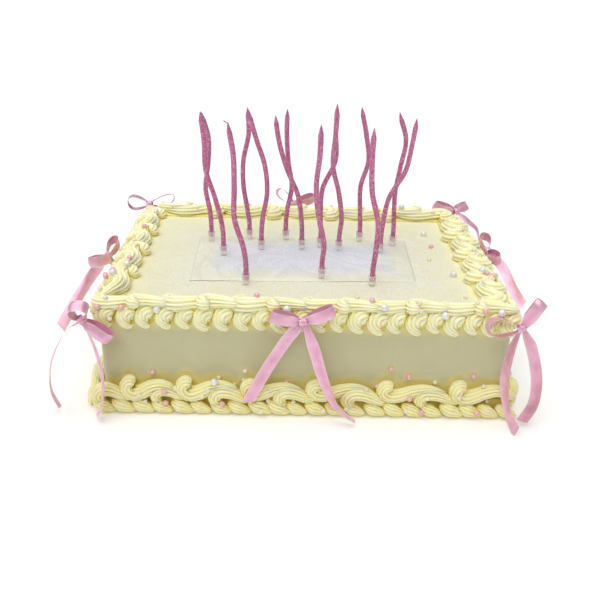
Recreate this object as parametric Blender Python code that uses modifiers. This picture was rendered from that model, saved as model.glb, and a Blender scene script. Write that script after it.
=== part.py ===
"""A frosted sheet cake with piped borders, sugar pearls, ribbon bows, a wafer sheet and wavy candles.

Metres, +Z up. The origin is the middle of the cake's base, and the front faces -Y.
"""
import math
import random

import bmesh
import bpy
from mathutils import Matrix, Vector
from mathutils.bvhtree import BVHTree

# The frosted block
CAKE_WIDTH = 0.350
CAKE_DEPTH = 0.252
CAKE_HEIGHT = 0.096
EDGE_RADIUS = 0.005
EDGE_SEGMENTS = 2

# Gap between pieces that touch, how far a core runs past the box that trims it, and a merge distance
GAP = 0.0003
SPARE = 0.002
WELD = 0.00001

# The piped borders. "Out" is measured from the cake's face, "up" from what the border lies on.
# A front or back border holds the corners, and has more faces than a left or right one. A top band is
# (distance in from the face, squeeze across it, fatness of its beads).
PAIR_PITCH = 0.058
TOP_PAIR_PITCH = 0.059
TOP_SHELL_PITCH = 0.0163
BASE_SHELL_PITCH = 0.0168
TOP_RING = {"front": 0.0130, "back": 0.0290, "left": 0.0255, "right": 0.0310}
TOP_REACH = {"front": 0.0078, "back": 0.0068, "left": 0.0088, "right": 0.0068}
CORNER_REACH = 0.0049
CORNER_SIZE = 0.80
TOP_RISE = 0.020
TOP_DROP = 0.024
TOP_CORE_THICK = 0.0015
TOP_CORE_RISE = 0.0015
TOP_CORE_DROP = 0.013
TOP_CORE_INSET = 0.006
TOP_BAND_RISE = 0.0040
TOP_BANDS = {"front": (0.0015, 0.50, 1.00), "back": (0.0145, 1.10, 1.25),
             "left": (0.0120, 0.95, 1.15), "right": (0.0150, 1.20, 1.30)}
TOP_ROW_SPARE = 0.002
BASE_REACH = 0.022
BASE_RISE = 0.042
BASE_CORE_THICK = 0.0040
BASE_CORE_HEIGHT = 0.015
BASE_BAND_HEIGHT = 0.0215
BASE_BAND_OUT = 0.0070
BASE_ROW_SPARE = 0.009
SCROLL_LEAD = 0.0040
SIZE_SPREAD = 0.08
SHELL_LEAN = 0.0008
SCROLL_LIFT = 0.0006
BEAD_SIDES = 8
SHELL_RINGS = 6
SCROLL_RINGS = 10
BASE_SEED = 11
TOP_SEED = 31
VOXEL = 0.0012
BASE_FACES = {True: 870, False: 570}
TOP_FACES = {True: 1080, False: 450}

# One pair of scrolls: (along, across, radius) down each bead, from its fat curled head to its thin tail
TROUGH_SCROLL = (
    (0.0030, 0.0052, 0.0050),
    (-0.0020, 0.0060, 0.0066),
    (-0.0045, 0.0012, 0.0070),
    (0.0010, -0.0036, 0.0070),
    (0.0095, -0.0026, 0.0066),
    (0.0190, 0.0016, 0.0060),
    (0.0290, 0.0036, 0.0053),
    (0.0390, 0.0010, 0.0044),
    (0.0470, -0.0040, 0.0026),
)
CREST_SCROLL = (
    (0.0310, -0.0102, 0.0038),
    (0.0262, -0.0094, 0.0054),
    (0.0245, -0.0044, 0.0063),
    (0.0288, -0.0002, 0.0062),
    (0.0380, -0.0010, 0.0055),
    (0.0480, -0.0055, 0.0045),
    (0.0570, -0.0095, 0.0026),
)
# The crest lies over the trough's tail. The front pairs start where the photograph shows them.
CREST_LIFT = 0.0020
FRONT_HEADS = (-0.199, -0.149, -0.101, -0.046, 0.011, 0.073, 0.137, 0.197)

# Shells: (along, out, up, radius) from one end to the other. The top ones hang from the cake's edge like
# fans, down to a curled tip, and the base ones lie along the ground.
TOP_SHELL = (
    (0.0030, -0.0012, -0.0020, 0.0062),
    (0.0022, -0.0004, -0.0055, 0.0078),
    (0.0016, 0.0006, -0.0092, 0.0074),
    (0.0016, 0.0016, -0.0128, 0.0054),
    (0.0040, 0.0022, -0.0156, 0.0030),
    (0.0068, 0.0020, -0.0148, 0.0016),
)
BASE_SHELL = (
    (0.0035, 0.0110, 0.0024, 0.0021),
    (-0.0018, 0.0120, 0.0032, 0.0038),
    (-0.0046, 0.0110, 0.0055, 0.0050),
    (-0.0004, 0.0100, 0.0070, 0.0058),
    (0.0058, 0.0100, 0.0060, 0.0051),
    (0.0110, 0.0100, 0.0045, 0.0034),
)
# The shells that turn a top corner, as parts of the ring's width from the corner
CORNER_SHELLS = {"front": (0.55,), "back": (0.25, 0.80)}

# Sugar pearls: how many lie on each border, how far they may stray, and the few on the smooth frosting
PEARL_RADII = {"pink": 0.0025, "cream": 0.0020, "white": 0.0033}
PEARL_KINDS = ("pink", "cream", "cream", "white")
PEARL_SINK = 0.45
PEARL_STRAY = 0.008
PEARL_SIDES = 5
PEARL_RINGS = 4
PEARL_MARGIN = 0.010
AIM_DISTANCE = 0.06
BASE_PEARLS = {"front": 6, "back": 4, "left": 2, "right": 2}
BASE_PEARL_HEIGHTS = (0.006, 0.024)
TOP_PEARLS = {"front": 4, "back": 3, "left": 2, "right": 2}
TOP_PEARL_INSET = 0.020
WALL_PEARLS = (
    ("pink", -0.132, 0.0345),
    ("cream", -0.052, 0.0375),
    ("pink", 0.074, 0.042),
    ("pink", 0.147, 0.036),
)
FLAT_PEARLS = (
    ("pink", 0.130, 0.025),
    ("white", 0.128, 0.060),
    ("cream", 0.122, -0.010),
    ("white", 0.138, -0.047),
)

# The wafer sheet that lies on top
SHEET_CORNERS = ((-0.105, -0.070), (0.101, -0.062), (0.105, 0.043), (-0.107, 0.044))
SHEET_THICK = 0.0005
SHEET_WAVE = 0.0006
SHEET_CELLS = (6, 4)

# Candles: place on top of the cake, height, the sideways swing at each fifth of the height, and the bend
CANDLE_RADIUS = 0.00235
CANDLE_SEAT = 0.0055
CANDLE_STEPS = (0.0, 0.08, 0.26, 0.44, 0.62, 0.80, 0.96, 1.0)
CANDLE_TAPER = {0.96: 0.85, 1.0: 0.2}
CANDLES = {
    "a": (-0.094, 0.027, 0.131, (-0.001, -0.005, -0.002, -0.001, -0.007), 0.002),
    "b": (-0.079, -0.010, 0.139, (-0.001, -0.007, -0.015, -0.016, -0.019), -0.003),
    "c": (-0.054, -0.075, 0.144, (-0.002, -0.010, -0.010, -0.0105, -0.0145), 0.002),
    "d": (-0.056, 0.036, 0.135, (-0.002, -0.006, -0.006, -0.001, -0.002), -0.002),
    "e": (-0.043, 0.008, 0.138, (0.001, 0.005, 0.0025, -0.006, -0.0127), 0.003),
    "f": (-0.019, 0.036, 0.134, (0.001, 0.005, 0.001, -0.001, -0.001), 0.002),
    "g": (-0.003, 0.011, 0.133, (-0.001, -0.005, -0.016, -0.024, -0.028), -0.003),
    "h": (0.014, -0.060, 0.141, (0.001, -0.005, -0.008, -0.006, -0.006), 0.002),
    "i": (0.016, 0.016, 0.144, (-0.001, 0.000, 0.011, 0.010, 0.010), 0.004),
    "j": (0.034, 0.009, 0.143, (0.001, -0.003, -0.010, -0.009, -0.008), -0.004),
    "k": (0.057, 0.036, 0.138, (-0.001, -0.002, 0.004, 0.000, -0.006), 0.002),
    "l": (0.059, -0.072, 0.142, (0.001, 0.001, -0.006, -0.008, -0.008), -0.002),
    "m": (0.075, 0.005, 0.135, (0.001, 0.005, 0.018, 0.022, 0.024), 0.002),
    "n": (0.090, 0.026, 0.136, (-0.001, -0.002, 0.001, 0.004, -0.004), -0.002),
}
CUP_HEIGHT = 0.010
CUP_TOP_RADIUS = 0.0038
CUP_FOOT_RADIUS = 0.0027
CUP_BORE_RADIUS = 0.0030
CUP_SIDES = 6

# Ribbon bows. A loop is (reach, half opening); a tail is (route, width at its start, width at its end).
RIBBON_WIDTH = 0.010
RIBBON_THICK = 0.0006
KNOT_RADIUS = 0.0048
LOOP_STEPS = 12
LOOP_CELLS = 7
TAIL_CELLS = 5
LOOP_PINCH = 0.35
TAIL_PINCH = 0.4
PINCH_REACH = 0.2
BOWS = {
    "front": {
        "knot": (-0.004, -0.1400, 0.093),
        "loops": (
            ((-0.027, 0.000, 0.005), (0.000, 0.0045, 0.000)),
            ((0.025, -0.001, 0.012), (0.000, 0.0045, 0.000)),
        ),
        "tails": (
            (((-0.006, -0.141, 0.091), (-0.017, -0.143, 0.078), (-0.034, -0.143, 0.048),
              (-0.050, -0.143, 0.014)),
             (0.87, 0.0, -0.48), (0.87, 0.0, -0.48)),
            (((-0.002, -0.141, 0.091), (0.006, -0.143, 0.068), (0.015, -0.145, 0.040),
              (0.027, -0.149, 0.016), (0.044, -0.155, 0.0055)),
             (0.94, 0.0, 0.30), (0.10, -0.60, 0.60)),
        ),
    },
    "front_left": {
        "knot": (-0.185, -0.1385, 0.090),
        "loops": (
            ((0.001, -0.010, 0.018), (0.008, 0.000, 0.000)),
            ((0.024, -0.003, -0.016), (0.000, 0.0055, 0.000)),
        ),
        "tails": (
            (((-0.187, -0.139, 0.088), (-0.200, -0.140, 0.077), (-0.213, -0.141, 0.050),
              (-0.216, -0.140, 0.024), (-0.210, -0.139, 0.0035)),
             (0.30, -0.80, 0.50), (0.20, -0.95, 0.0)),
            (((-0.183, -0.140, 0.088), (-0.175, -0.143, 0.067), (-0.170, -0.146, 0.042),
              (-0.171, -0.150, 0.018), (-0.177, -0.152, 0.0035)),
             (0.60, -0.70, 0.30), (0.25, -0.95, 0.0)),
        ),
    },
    "front_right": {
        "knot": (0.176, -0.1415, 0.092),
        "loops": (
            ((-0.029, -0.001, 0.001), (0.000, 0.0020, 0.0075)),
            ((0.012, -0.003, 0.026), (0.002, 0.0045, 0.000)),
        ),
        "tails": (
            (((0.178, -0.1425, 0.090), (0.1865, -0.143, 0.075), (0.1955, -0.144, 0.046),
              (0.1965, -0.145, 0.020), (0.187, -0.149, 0.0035)),
             (0.80, -0.45, 0.30), (0.60, -0.75, 0.0)),
            (((0.174, -0.1425, 0.090), (0.169, -0.1445, 0.068), (0.168, -0.146, 0.042),
              (0.174, -0.150, 0.015), (0.180, -0.165, 0.0035)),
             (0.35, -0.92, 0.10), (0.50, -0.85, 0.0)),
        ),
    },
    "right": {
        "knot": (0.1870, 0.020, 0.096),
        "loops": (
            ((0.003, 0.032, 0.004), (0.0060, 0.000, 0.000)),
            ((0.005, -0.024, -0.001), (0.0050, 0.000, 0.002)),
        ),
        "tails": (
            (((0.189, 0.018, 0.095), (0.198, -0.003, 0.087), (0.204, -0.023, 0.074), (0.211, -0.044, 0.064)),
             (0.83, 0.0, 0.56), (0.83, 0.0, 0.56)),
            (((0.187, 0.022, 0.093), (0.187, 0.032, 0.076), (0.190, 0.037, 0.052)),
             (0.0, 0.90, 0.30), (0.0, 1.0, 0.2)),
        ),
    },
    "left": {
        "knot": (-0.1900, -0.014, 0.095),
        "loops": (
            ((0.002, 0.030, 0.006), (0.0050, 0.000, 0.000)),
            ((-0.007, -0.024, 0.003), (0.0085, 0.000, 0.002)),
        ),
        "tails": (
            (((-0.192, -0.016, 0.094), (-0.201, -0.032, 0.084), (-0.211, -0.062, 0.070),
              (-0.219, -0.092, 0.056)),
             (-0.86, 0.0, 0.51), (-0.86, 0.0, 0.51)),
            (((-0.190, -0.012, 0.092), (-0.187, 0.004, 0.074), (-0.189, 0.014, 0.050)),
             (0.0, 0.90, 0.30), (0.0, 1.0, 0.2)),
        ),
    },
    "back_left": {
        "knot": (-0.176, 0.1405, 0.097),
        "loops": (
            ((-0.025, 0.000, 0.002), (0.000, 0.000, 0.0080)),
            ((0.029, 0.001, 0.008), (0.000, 0.002, 0.0055)),
        ),
        "tails": (
            (((-0.174, 0.1415, 0.095), (-0.170, 0.143, 0.068), (-0.168, 0.146, 0.038),
              (-0.165, 0.150, 0.0035)),
             (0.90, 0.0, 0.20), (0.95, 0.20, 0.0)),
            (((-0.172, 0.1415, 0.095), (-0.158, 0.144, 0.072), (-0.148, 0.147, 0.040),
              (-0.146, 0.148, 0.010)),
             (0.90, 0.0, 0.40), (0.95, 0.0, 0.10)),
        ),
    },
    "back_right": {
        "knot": (0.180, 0.1405, 0.097),
        "loops": (
            ((-0.027, 0.001, 0.007), (0.000, 0.0045, 0.001)),
            ((0.012, 0.014, 0.003), (0.005, -0.003, 0.003)),
        ),
        "tails": (
            (((0.182, 0.1385, 0.095), (0.194, 0.133, 0.087), (0.204, 0.129, 0.078), (0.209, 0.126, 0.058)),
             (0.30, 0.80, 0.45), (0.30, 0.90, 0.20)),
            (((0.178, 0.1415, 0.095), (0.172, 0.144, 0.068), (0.168, 0.147, 0.038), (0.170, 0.151, 0.0035)),
             (0.90, 0.0, 0.20), (0.95, 0.10, 0.0)),
        ),
    },
    "back": {
        "knot": (-0.010, 0.1415, 0.101),
        "loops": (
            ((-0.019, 0.000, 0.016), (0.003, 0.002, 0.0040)),
            ((0.024, 0.001, 0.008), (0.000, 0.0045, 0.002)),
        ),
        "tails": (
            (((-0.012, 0.1425, 0.099), (-0.021, 0.144, 0.072), (-0.037, 0.146, 0.040),
              (-0.052, 0.150, 0.0055)),
             (0.92, 0.0, -0.30), (0.70, 0.30, -0.30)),
            (((-0.008, 0.1425, 0.099), (-0.002, 0.144, 0.070), (0.008, 0.146, 0.040), (0.020, 0.148, 0.012)),
             (0.92, 0.0, 0.30), (0.92, 0.0, 0.35)),
        ),
    },
}

QUARTER_TURNS = {"front": 0, "right": 1, "back": 2, "left": 3}
CREAM = (0.93, 0.90, 0.62)
PINK = (0.84, 0.52, 0.68)


def clear_scene():
    """Removes what the scene holds."""
    for thing in list(bpy.data.objects):
        bpy.data.objects.remove(thing, do_unlink=True)


def material(name, colour, roughness, alpha=1.0):
    """A Principled material in one colour."""
    made = bpy.data.materials.new(name)
    made.use_nodes = True
    shader = made.node_tree.nodes["Principled BSDF"]
    shader.inputs["Base Color"].default_value = (*colour, 1.0)
    shader.inputs["Roughness"].default_value = roughness
    shader.inputs["Metallic"].default_value = 0.0
    shader.inputs["Alpha"].default_value = alpha
    return made


def add_object(name, mesh, group, look=None):
    """Links a mesh as an object in a collection."""
    thing = bpy.data.objects.new(name, mesh)
    group.objects.link(thing)
    if look:
        thing.data.materials.append(look)
    return thing


def add_group(name):
    """A collection under the scene's own."""
    group = bpy.data.collections.new(name)
    bpy.context.scene.collection.children.link(group)
    return group


def mesh_of(shape, name):
    """Turns a bmesh into a mesh, with its faces pointing out."""
    bmesh.ops.recalc_face_normals(shape, faces=shape.faces)
    mesh = bpy.data.meshes.new(name)
    shape.to_mesh(mesh)
    shape.free()
    return mesh


def box_mesh(name, low, high):
    """A box between two corners."""
    shape = bmesh.new()
    bmesh.ops.create_cube(shape, size=1.0)
    size = Vector(high) - Vector(low)
    middle = (Vector(high) + Vector(low)) / 2
    bmesh.ops.scale(shape, vec=size, verts=shape.verts)
    bmesh.ops.translate(shape, vec=middle, verts=shape.verts)
    return mesh_of(shape, name)


def smooth(values, t):
    """Reads the smooth curve through evenly spaced values, numbers or vectors, at t from 0 to 1."""
    last = len(values) - 1
    position = min(max(t, 0.0), 1.0) * last
    i = min(int(position), last - 1)
    f = position - i
    before, a, b, after = values[max(i - 1, 0)], values[i], values[i + 1], values[min(i + 2, last)]
    line = 2.0 * a + (b - before) * f
    return 0.5 * (line + (2.0 * before - 5.0 * a + 4.0 * b - after) * f * f
                  + (3.0 * a - before - 3.0 * b + after) * f * f * f)


def holds_corners(side):
    """Whether a side's borders run round its corners."""
    return side in ("front", "back")


def side_length(side):
    """How long the cake is along one of its sides."""
    return CAKE_WIDTH if holds_corners(side) else CAKE_DEPTH


def place(side, along, out, up):
    """World place of a point given along a side, left to right from outside, out from its face, and up."""
    face = (CAKE_DEPTH if holds_corners(side) else CAKE_WIDTH) / 2
    return Matrix.Rotation(math.pi / 2 * QUARTER_TURNS[side], 3, "Z") @ Vector((along, -face - out, up))


def side_box(side, low, high):
    """Corners, in world axes, of a box given along a side."""
    a, b = place(side, *low), place(side, *high)
    return [min(p, q) for p, q in zip(a, b)], [max(p, q) for p, q in zip(a, b)]


def bead(name, path, radii, facing, rings):
    """A piped bead: a sphere stretched along a path, with its own radius at each point of the path."""
    shape = bmesh.new()
    bmesh.ops.create_uvsphere(shape, u_segments=BEAD_SIDES, v_segments=rings, radius=1.0)
    for vertex in shape.verts:
        t = (1.0 - vertex.co.z) / 2
        turn = math.atan2(vertex.co.y, vertex.co.x)
        at_pole = abs(vertex.co.z) > 0.999
        radius = 0.0 if at_pole else smooth(radii, t)
        tangent = (smooth(path, t + 0.02) - smooth(path, t - 0.02)).normalized()
        normal = (facing - tangent * facing.dot(tangent)).normalized()
        across = tangent.cross(normal)
        vertex.co = smooth(path, t) + (normal * math.cos(turn) + across * math.sin(turn)) * radius
    return mesh_of(shape, name)


def spread(low, high, pitch):
    """Even places between two ends, at about a pitch."""
    count = round((high - low) / pitch)
    step = (high - low) / count
    return [low + step * (i + 0.5) for i in range(count)]


def shell_bead(side, along, shell, size, floor):
    """One shell: a short bead that starts fat and ends in a point."""
    path = [place(side, along + s * size, out, floor + up * size) for s, out, up, _ in shell]
    facing = place(side, 0, 1, 1) - place(side, 0, 0, 0)
    return bead("shell", path, [radius * size for *_, radius in shell], facing, SHELL_RINGS)


def shell_row(side, low, high, shell, pitch, floor, chance):
    """Shells along a side, each a little different."""
    made = []
    for along in spread(low, high, pitch):
        size = chance.uniform(1 - SIZE_SPREAD, 1 + SIZE_SPREAD)
        lean = chance.uniform(-SHELL_LEAN, SHELL_LEAN)
        made.append(shell_bead(side, along + lean, shell, size, floor))
    return made


def heads_along(low, high, pitch):
    """Where the pairs of scrolls start along a side, and where the last one ends."""
    count = round((high - low) / pitch)
    step = (high - low) / count
    return [low + SCROLL_LEAD + step * i for i in range(count + 1)]


def scroll_band(heads, limit, spot, facing, fat, chance):
    """A band of scrolls along a side: one dips and the next crests. One past a corner is left out.

    Spot turns a distance along the side, one across the band and a lift off it into a place.
    """
    made = []
    for start, after in zip(heads, heads[1:]):
        for scroll, lift in ((TROUGH_SCROLL, 0.0), (CREST_SCROLL, CREST_LIFT)):
            size = chance.uniform(1 - SIZE_SPREAD, 1 + SIZE_SPREAD)
            lift += chance.uniform(-SCROLL_LIFT, SCROLL_LIFT)
            stretch = (after - start) / PAIR_PITCH
            path = [spot(start + s * stretch, across * size, lift) for s, across, _ in scroll]
            radii = [radius * size * fat for *_, radius in scroll]
            if -limit < start + scroll[0][0] and start + scroll[-1][0] * stretch < limit + BASE_REACH / 2:
                made.append(bead("scroll", path, radii, facing, SCROLL_RINGS))
    return made


def ball(name, centre, radius):
    """A round lump with few sides."""
    shape = bmesh.new()
    bmesh.ops.create_uvsphere(shape, u_segments=PEARL_SIDES, v_segments=PEARL_RINGS, radius=radius)
    bmesh.ops.translate(shape, vec=centre, verts=shape.verts)
    return mesh_of(shape, name)


def applied(thing):
    """The object's shape with its modifiers, as a mesh of its own."""
    graph = bpy.context.evaluated_depsgraph_get()
    return bpy.data.meshes.new_from_object(thing.evaluated_get(graph))


def largest_piece(mesh):
    """Drops loose scraps, so that one closed solid is left."""
    shape = bmesh.new()
    shape.from_mesh(mesh)
    left = set(shape.verts)
    islands = []
    while left:
        island, queue = set(), [left.pop()]
        while queue:
            vertex = queue.pop()
            island.add(vertex)
            for edge in vertex.link_edges:
                other = edge.other_vert(vertex)
                if other in left:
                    left.discard(other)
                    queue.append(other)
        islands.append(island)
    islands.sort(key=len)
    scraps = [vertex for island in islands[:-1] for vertex in island]
    bmesh.ops.delete(shape, geom=scraps, context="VERTS")
    bmesh.ops.triangulate(shape, faces=shape.faces)
    shape.to_mesh(mesh)
    shape.free()
    return mesh


def join(body, name, pieces):
    """Adds a union of a body with meshes, which are put in a collection of their own."""
    group = add_group(name)
    for mesh in pieces:
        add_object(name, mesh, group)
    union = body.modifiers.new("join", "BOOLEAN")
    union.operation = "UNION"
    union.operand_type = "COLLECTION"
    union.collection = group
    union.solver = "MANIFOLD"
    return group


def fused(name, core, pieces, keep=None, cut=None, faces=None, toppings=()):
    """Joins pieces to a core, keeps what lies in one box and cuts another away. Only the result is kept.

    Where a number of faces is given, the joined surface is evened out to about that many, and the toppings
    are joined to it after that, so that they stay crisp.
    """
    body = add_object(name + "_core", core, bpy.context.scene.collection)
    groups = [join(body, name + "_pieces", pieces)]
    cutters = add_group(name + "_cutters")
    if faces:
        even = body.modifiers.new("even", "REMESH")
        even.mode = "VOXEL"
        even.voxel_size = VOXEL
        even.adaptivity = 0.0
        fewer = body.modifiers.new("fewer", "DECIMATE")
        fewer.ratio = faces / (2 * len(applied(body).polygons))
        fewer.use_collapse_triangulate = True
        if toppings:
            groups.append(join(body, name + "_toppings", toppings))
    for operation, corners in (("INTERSECT", keep), ("DIFFERENCE", cut)):
        if corners:
            step = body.modifiers.new(operation.lower(), "BOOLEAN")
            step.operation = operation
            step.object = add_object(name + "_box", box_mesh("box", *corners), cutters)
            step.solver = "MANIFOLD"
    result = largest_piece(applied(body))
    bpy.data.objects.remove(body, do_unlink=True)
    for group in (*groups, cutters):
        for thing in list(group.objects):
            bpy.data.objects.remove(thing, do_unlink=True)
        bpy.data.collections.remove(group)
    result.name = name
    return result


def cake_box(grow):
    """The block's corners, grown on every side but the base."""
    x, y = CAKE_WIDTH / 2 + grow, CAKE_DEPTH / 2 + grow
    return (-x, -y, -grow), (x, y, CAKE_HEIGHT + grow)


def pearl(kind, spot, outward):
    """A pearl partly sunk into the surface at a place."""
    radius = PEARL_RADII[kind]
    return ball("pearl", spot + outward * radius * (1 - PEARL_SINK), radius)


def pearls_on(beads, aims, direction, chance):
    """Pearls sunk into the beads where rays along a direction first meet them."""
    corners, faces = [], []
    for mesh in beads:
        start = len(corners)
        corners += [vertex.co.copy() for vertex in mesh.vertices]
        faces += [[start + i for i in face.vertices] for face in mesh.polygons]
    tree = BVHTree.FromPolygons(corners, faces)
    pearls = []
    for aim in aims:
        kind = chance.choice(PEARL_KINDS)
        hit, normal, _, _ = tree.ray_cast(aim, direction)
        if hit:
            pearls.append(pearl(kind, hit, normal))
    return pearls


def base_border(side, group, look):
    """The border at the cake's foot: a row of shells on the ground and a band of scrolls over it."""
    chance = random.Random(BASE_SEED + QUARTER_TURNS[side])
    corner = holds_corners(side)
    half = side_length(side) / 2
    reach = half + BASE_CORE_THICK
    core = side_box(side, (-reach, -SPARE, -SPARE), (reach, BASE_CORE_THICK, BASE_CORE_HEIGHT))
    row = half + BASE_ROW_SPARE if corner else half
    beads = shell_row(side, -row, row, BASE_SHELL, BASE_SHELL_PITCH, 0.0, chance)

    def on_wall(along, across, lift):
        return place(side, along, BASE_BAND_OUT + lift, BASE_BAND_HEIGHT + across)

    outward = place(side, 0, 1, 0) - place(side, 0, 0, 0)
    heads = FRONT_HEADS if side == "front" else heads_along(-half, half, PAIR_PITCH)
    beads += scroll_band(heads, half, on_wall, outward, 1.0, chance)
    limit = half + BASE_REACH if corner else half - GAP
    keep = side_box(side, (-limit, GAP, 0), (limit, BASE_REACH, BASE_RISE))
    aims = []
    for along in spread(PEARL_MARGIN - half, half - PEARL_MARGIN, 2 * half / BASE_PEARLS[side]):
        stray = chance.uniform(-PEARL_STRAY, PEARL_STRAY)
        aims.append(place(side, along + stray, AIM_DISTANCE, chance.uniform(*BASE_PEARL_HEIGHTS)))
    pearls = pearls_on(beads, aims, -outward, chance)
    name = "base_border_" + side
    border = fused(name, box_mesh("core", *core), beads, keep, None, BASE_FACES[corner], pearls)
    return add_object(name, border, group, look)


def top_span(side):
    """Where a top border starts and stops along its side. The left and right ones fit between the others."""
    half = side_length(side) / 2
    if holds_corners(side):
        return -half - CORNER_REACH, half + CORNER_REACH
    front = half - TOP_RING["front"] - GAP
    back = half - TOP_RING["back"] - GAP
    return (-front, back) if side == "right" else (-back, front)


def corner_pieces(side):
    """What carries a front or back top border round its corners: a short core and a few shells on each."""
    pieces = []
    top = CAKE_HEIGHT
    for other in ("left", "right"):
        sign = -1 if (side == "front") == (other == "right") else 1
        corner = sign * CAKE_DEPTH / 2
        inner = corner - sign * TOP_RING[side]
        low, high = min(corner, inner) - SPARE, max(corner, inner) + SPARE
        wrap = side_box(other, (low, -SPARE, top - TOP_CORE_DROP - GAP),
                        (high, TOP_CORE_THICK - GAP, top + TOP_CORE_RISE / 2))
        pieces.append(box_mesh("wrap", *wrap))
        for part in CORNER_SHELLS[side]:
            pieces.append(shell_bead(other, corner + (inner - corner) * part, TOP_SHELL, CORNER_SIZE, top))
    return pieces


def top_border(side, group, look):
    """The border round the top: shells that hang over the edge, and a band of scrolls inside them."""
    chance = random.Random(TOP_SEED + QUARTER_TURNS[side])
    corner = holds_corners(side)
    half = side_length(side) / 2
    top = CAKE_HEIGHT
    ring = TOP_RING[side]
    inset, squeeze, fat = TOP_BANDS[side]
    low, high = top_span(side)
    ends = (-half - TOP_CORE_THICK, half + TOP_CORE_THICK) if corner else (low - SPARE, high + SPARE)
    slab = side_box(side, (ends[0], TOP_CORE_INSET - ring, top - SPARE),
                    (ends[1], TOP_CORE_THICK, top + TOP_CORE_RISE))
    lip = side_box(side, (ends[0], -SPARE, top - TOP_CORE_DROP),
                   (ends[1], TOP_CORE_THICK - GAP / 2, top + TOP_CORE_RISE - GAP))
    beads = [box_mesh("lip", *lip)]
    row = (-half - TOP_ROW_SPARE, half + TOP_ROW_SPARE) if corner else ends
    beads += shell_row(side, *row, TOP_SHELL, TOP_SHELL_PITCH, top, chance)
    if corner:
        beads += corner_pieces(side)

    def on_top(along, across, lift):
        return place(side, along, -inset - across * squeeze, top + TOP_BAND_RISE + lift)

    band = (inset - half, half - inset) if corner else ends
    beads += scroll_band(heads_along(*band, TOP_PAIR_PITCH), half, on_top, Vector((0, 0, 1)), fat, chance)
    keep = side_box(side, (low, -ring, top - TOP_DROP), (high, TOP_REACH[side], top + TOP_RISE))
    aims = []
    pitch = (ends[1] - ends[0]) / TOP_PEARLS[side]
    for along in spread(ends[0] + PEARL_MARGIN, ends[1] - PEARL_MARGIN, pitch):
        stray = chance.uniform(-PEARL_STRAY, PEARL_STRAY)
        aims.append(place(side, along + stray, chance.uniform(-TOP_PEARL_INSET, 0.0), top + AIM_DISTANCE))
    pearls = pearls_on(beads, aims, Vector((0, 0, -1)), chance)
    name = "top_border_" + side
    border = fused(name, box_mesh("slab", *slab), beads, keep, cake_box(GAP), TOP_FACES[corner], pearls)
    return add_object(name, border, group, look)


def frosted_cake(group, look):
    """The uncut cake: one solid block with softly rounded edges, and the pearls that fell on it."""
    block = add_object("block", box_mesh("block", *cake_box(0)), group)
    rounding = block.modifiers.new("edges", "BEVEL")
    rounding.width = EDGE_RADIUS
    rounding.segments = EDGE_SEGMENTS
    rounded = applied(block)
    bpy.data.objects.remove(block, do_unlink=True)
    front, up = Vector((0, -1, 0)), Vector((0, 0, 1))
    pearls = [pearl(kind, Vector((x, -CAKE_DEPTH / 2, z)), front) for kind, x, z in WALL_PEARLS]
    pearls += [pearl(kind, Vector((x, y, CAKE_HEIGHT)), up) for kind, x, y in FLAT_PEARLS]
    return add_object("cake", fused("cake", rounded, pearls), group, look)


def sheet_height(x, y):
    """How far the wafer sheet's underside lies above the cake's top."""
    return GAP + SHEET_WAVE * (1 + math.sin(31 * x + 9) * math.cos(47 * y + 3)) / 2


def wafer_sheet(group, look):
    """The thin sheet on top, a grid fitted between its four corners and given a slight wave."""
    shape = bmesh.new()
    bmesh.ops.create_grid(shape, x_segments=SHEET_CELLS[0], y_segments=SHEET_CELLS[1], size=1.0)
    corners = [Vector(corner) for corner in SHEET_CORNERS]
    for vertex in shape.verts:
        u, v = (vertex.co.x + 1) / 2, (vertex.co.y + 1) / 2
        near = corners[0].lerp(corners[1], u)
        far = corners[3].lerp(corners[2], u)
        spot = near.lerp(far, v)
        vertex.co = (spot.x, spot.y, CAKE_HEIGHT + sheet_height(spot.x, spot.y))
    sheet = add_object("wafer_sheet", mesh_of(shape, "wafer_sheet"), group, look)
    thicken(sheet, SHEET_THICK, 1.0)
    return sheet


def thicken(thing, thickness, offset):
    """Gives an open surface its thickness."""
    shell = thing.modifiers.new("thickness", "SOLIDIFY")
    shell.thickness = thickness
    shell.offset = offset


def cup_base(x, y):
    """The height at which a candle's cup stands, on the sheet where that lies under it."""
    low, high = SHEET_CORNERS[0], SHEET_CORNERS[2]
    on_sheet = low[0] < x < high[0] and low[1] < y < high[1]
    under = sheet_height(x, y) + SHEET_THICK + SHEET_WAVE / 2 if on_sheet else 0.0
    return CAKE_HEIGHT + under + GAP


def candle_cup(name, x, y, group, look):
    """A tapered cup with a socket for the candle's foot, turned from a profile."""
    socket = CUP_HEIGHT - CANDLE_SEAT
    profile = ((0.0, socket), (CUP_BORE_RADIUS, socket), (CUP_BORE_RADIUS, CUP_HEIGHT),
               (CUP_TOP_RADIUS, CUP_HEIGHT), (CUP_FOOT_RADIUS, 0.0), (0.0, 0.0))
    shape = bmesh.new()
    points = [shape.verts.new((radius, 0.0, height)) for radius, height in profile]
    for a, b in zip(points, points[1:]):
        shape.edges.new((a, b))
    mesh = bpy.data.meshes.new(name)
    shape.to_mesh(mesh)
    shape.free()
    cup = add_object(name, mesh, group, look)
    cup.location = (x, y, cup_base(x, y))
    turning = cup.modifiers.new("turning", "SCREW")
    turning.axis = "Z"
    turning.steps = CUP_SIDES
    turning.render_steps = CUP_SIDES
    turning.use_merge_vertices = True
    turning.merge_threshold = WELD
    return cup


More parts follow.
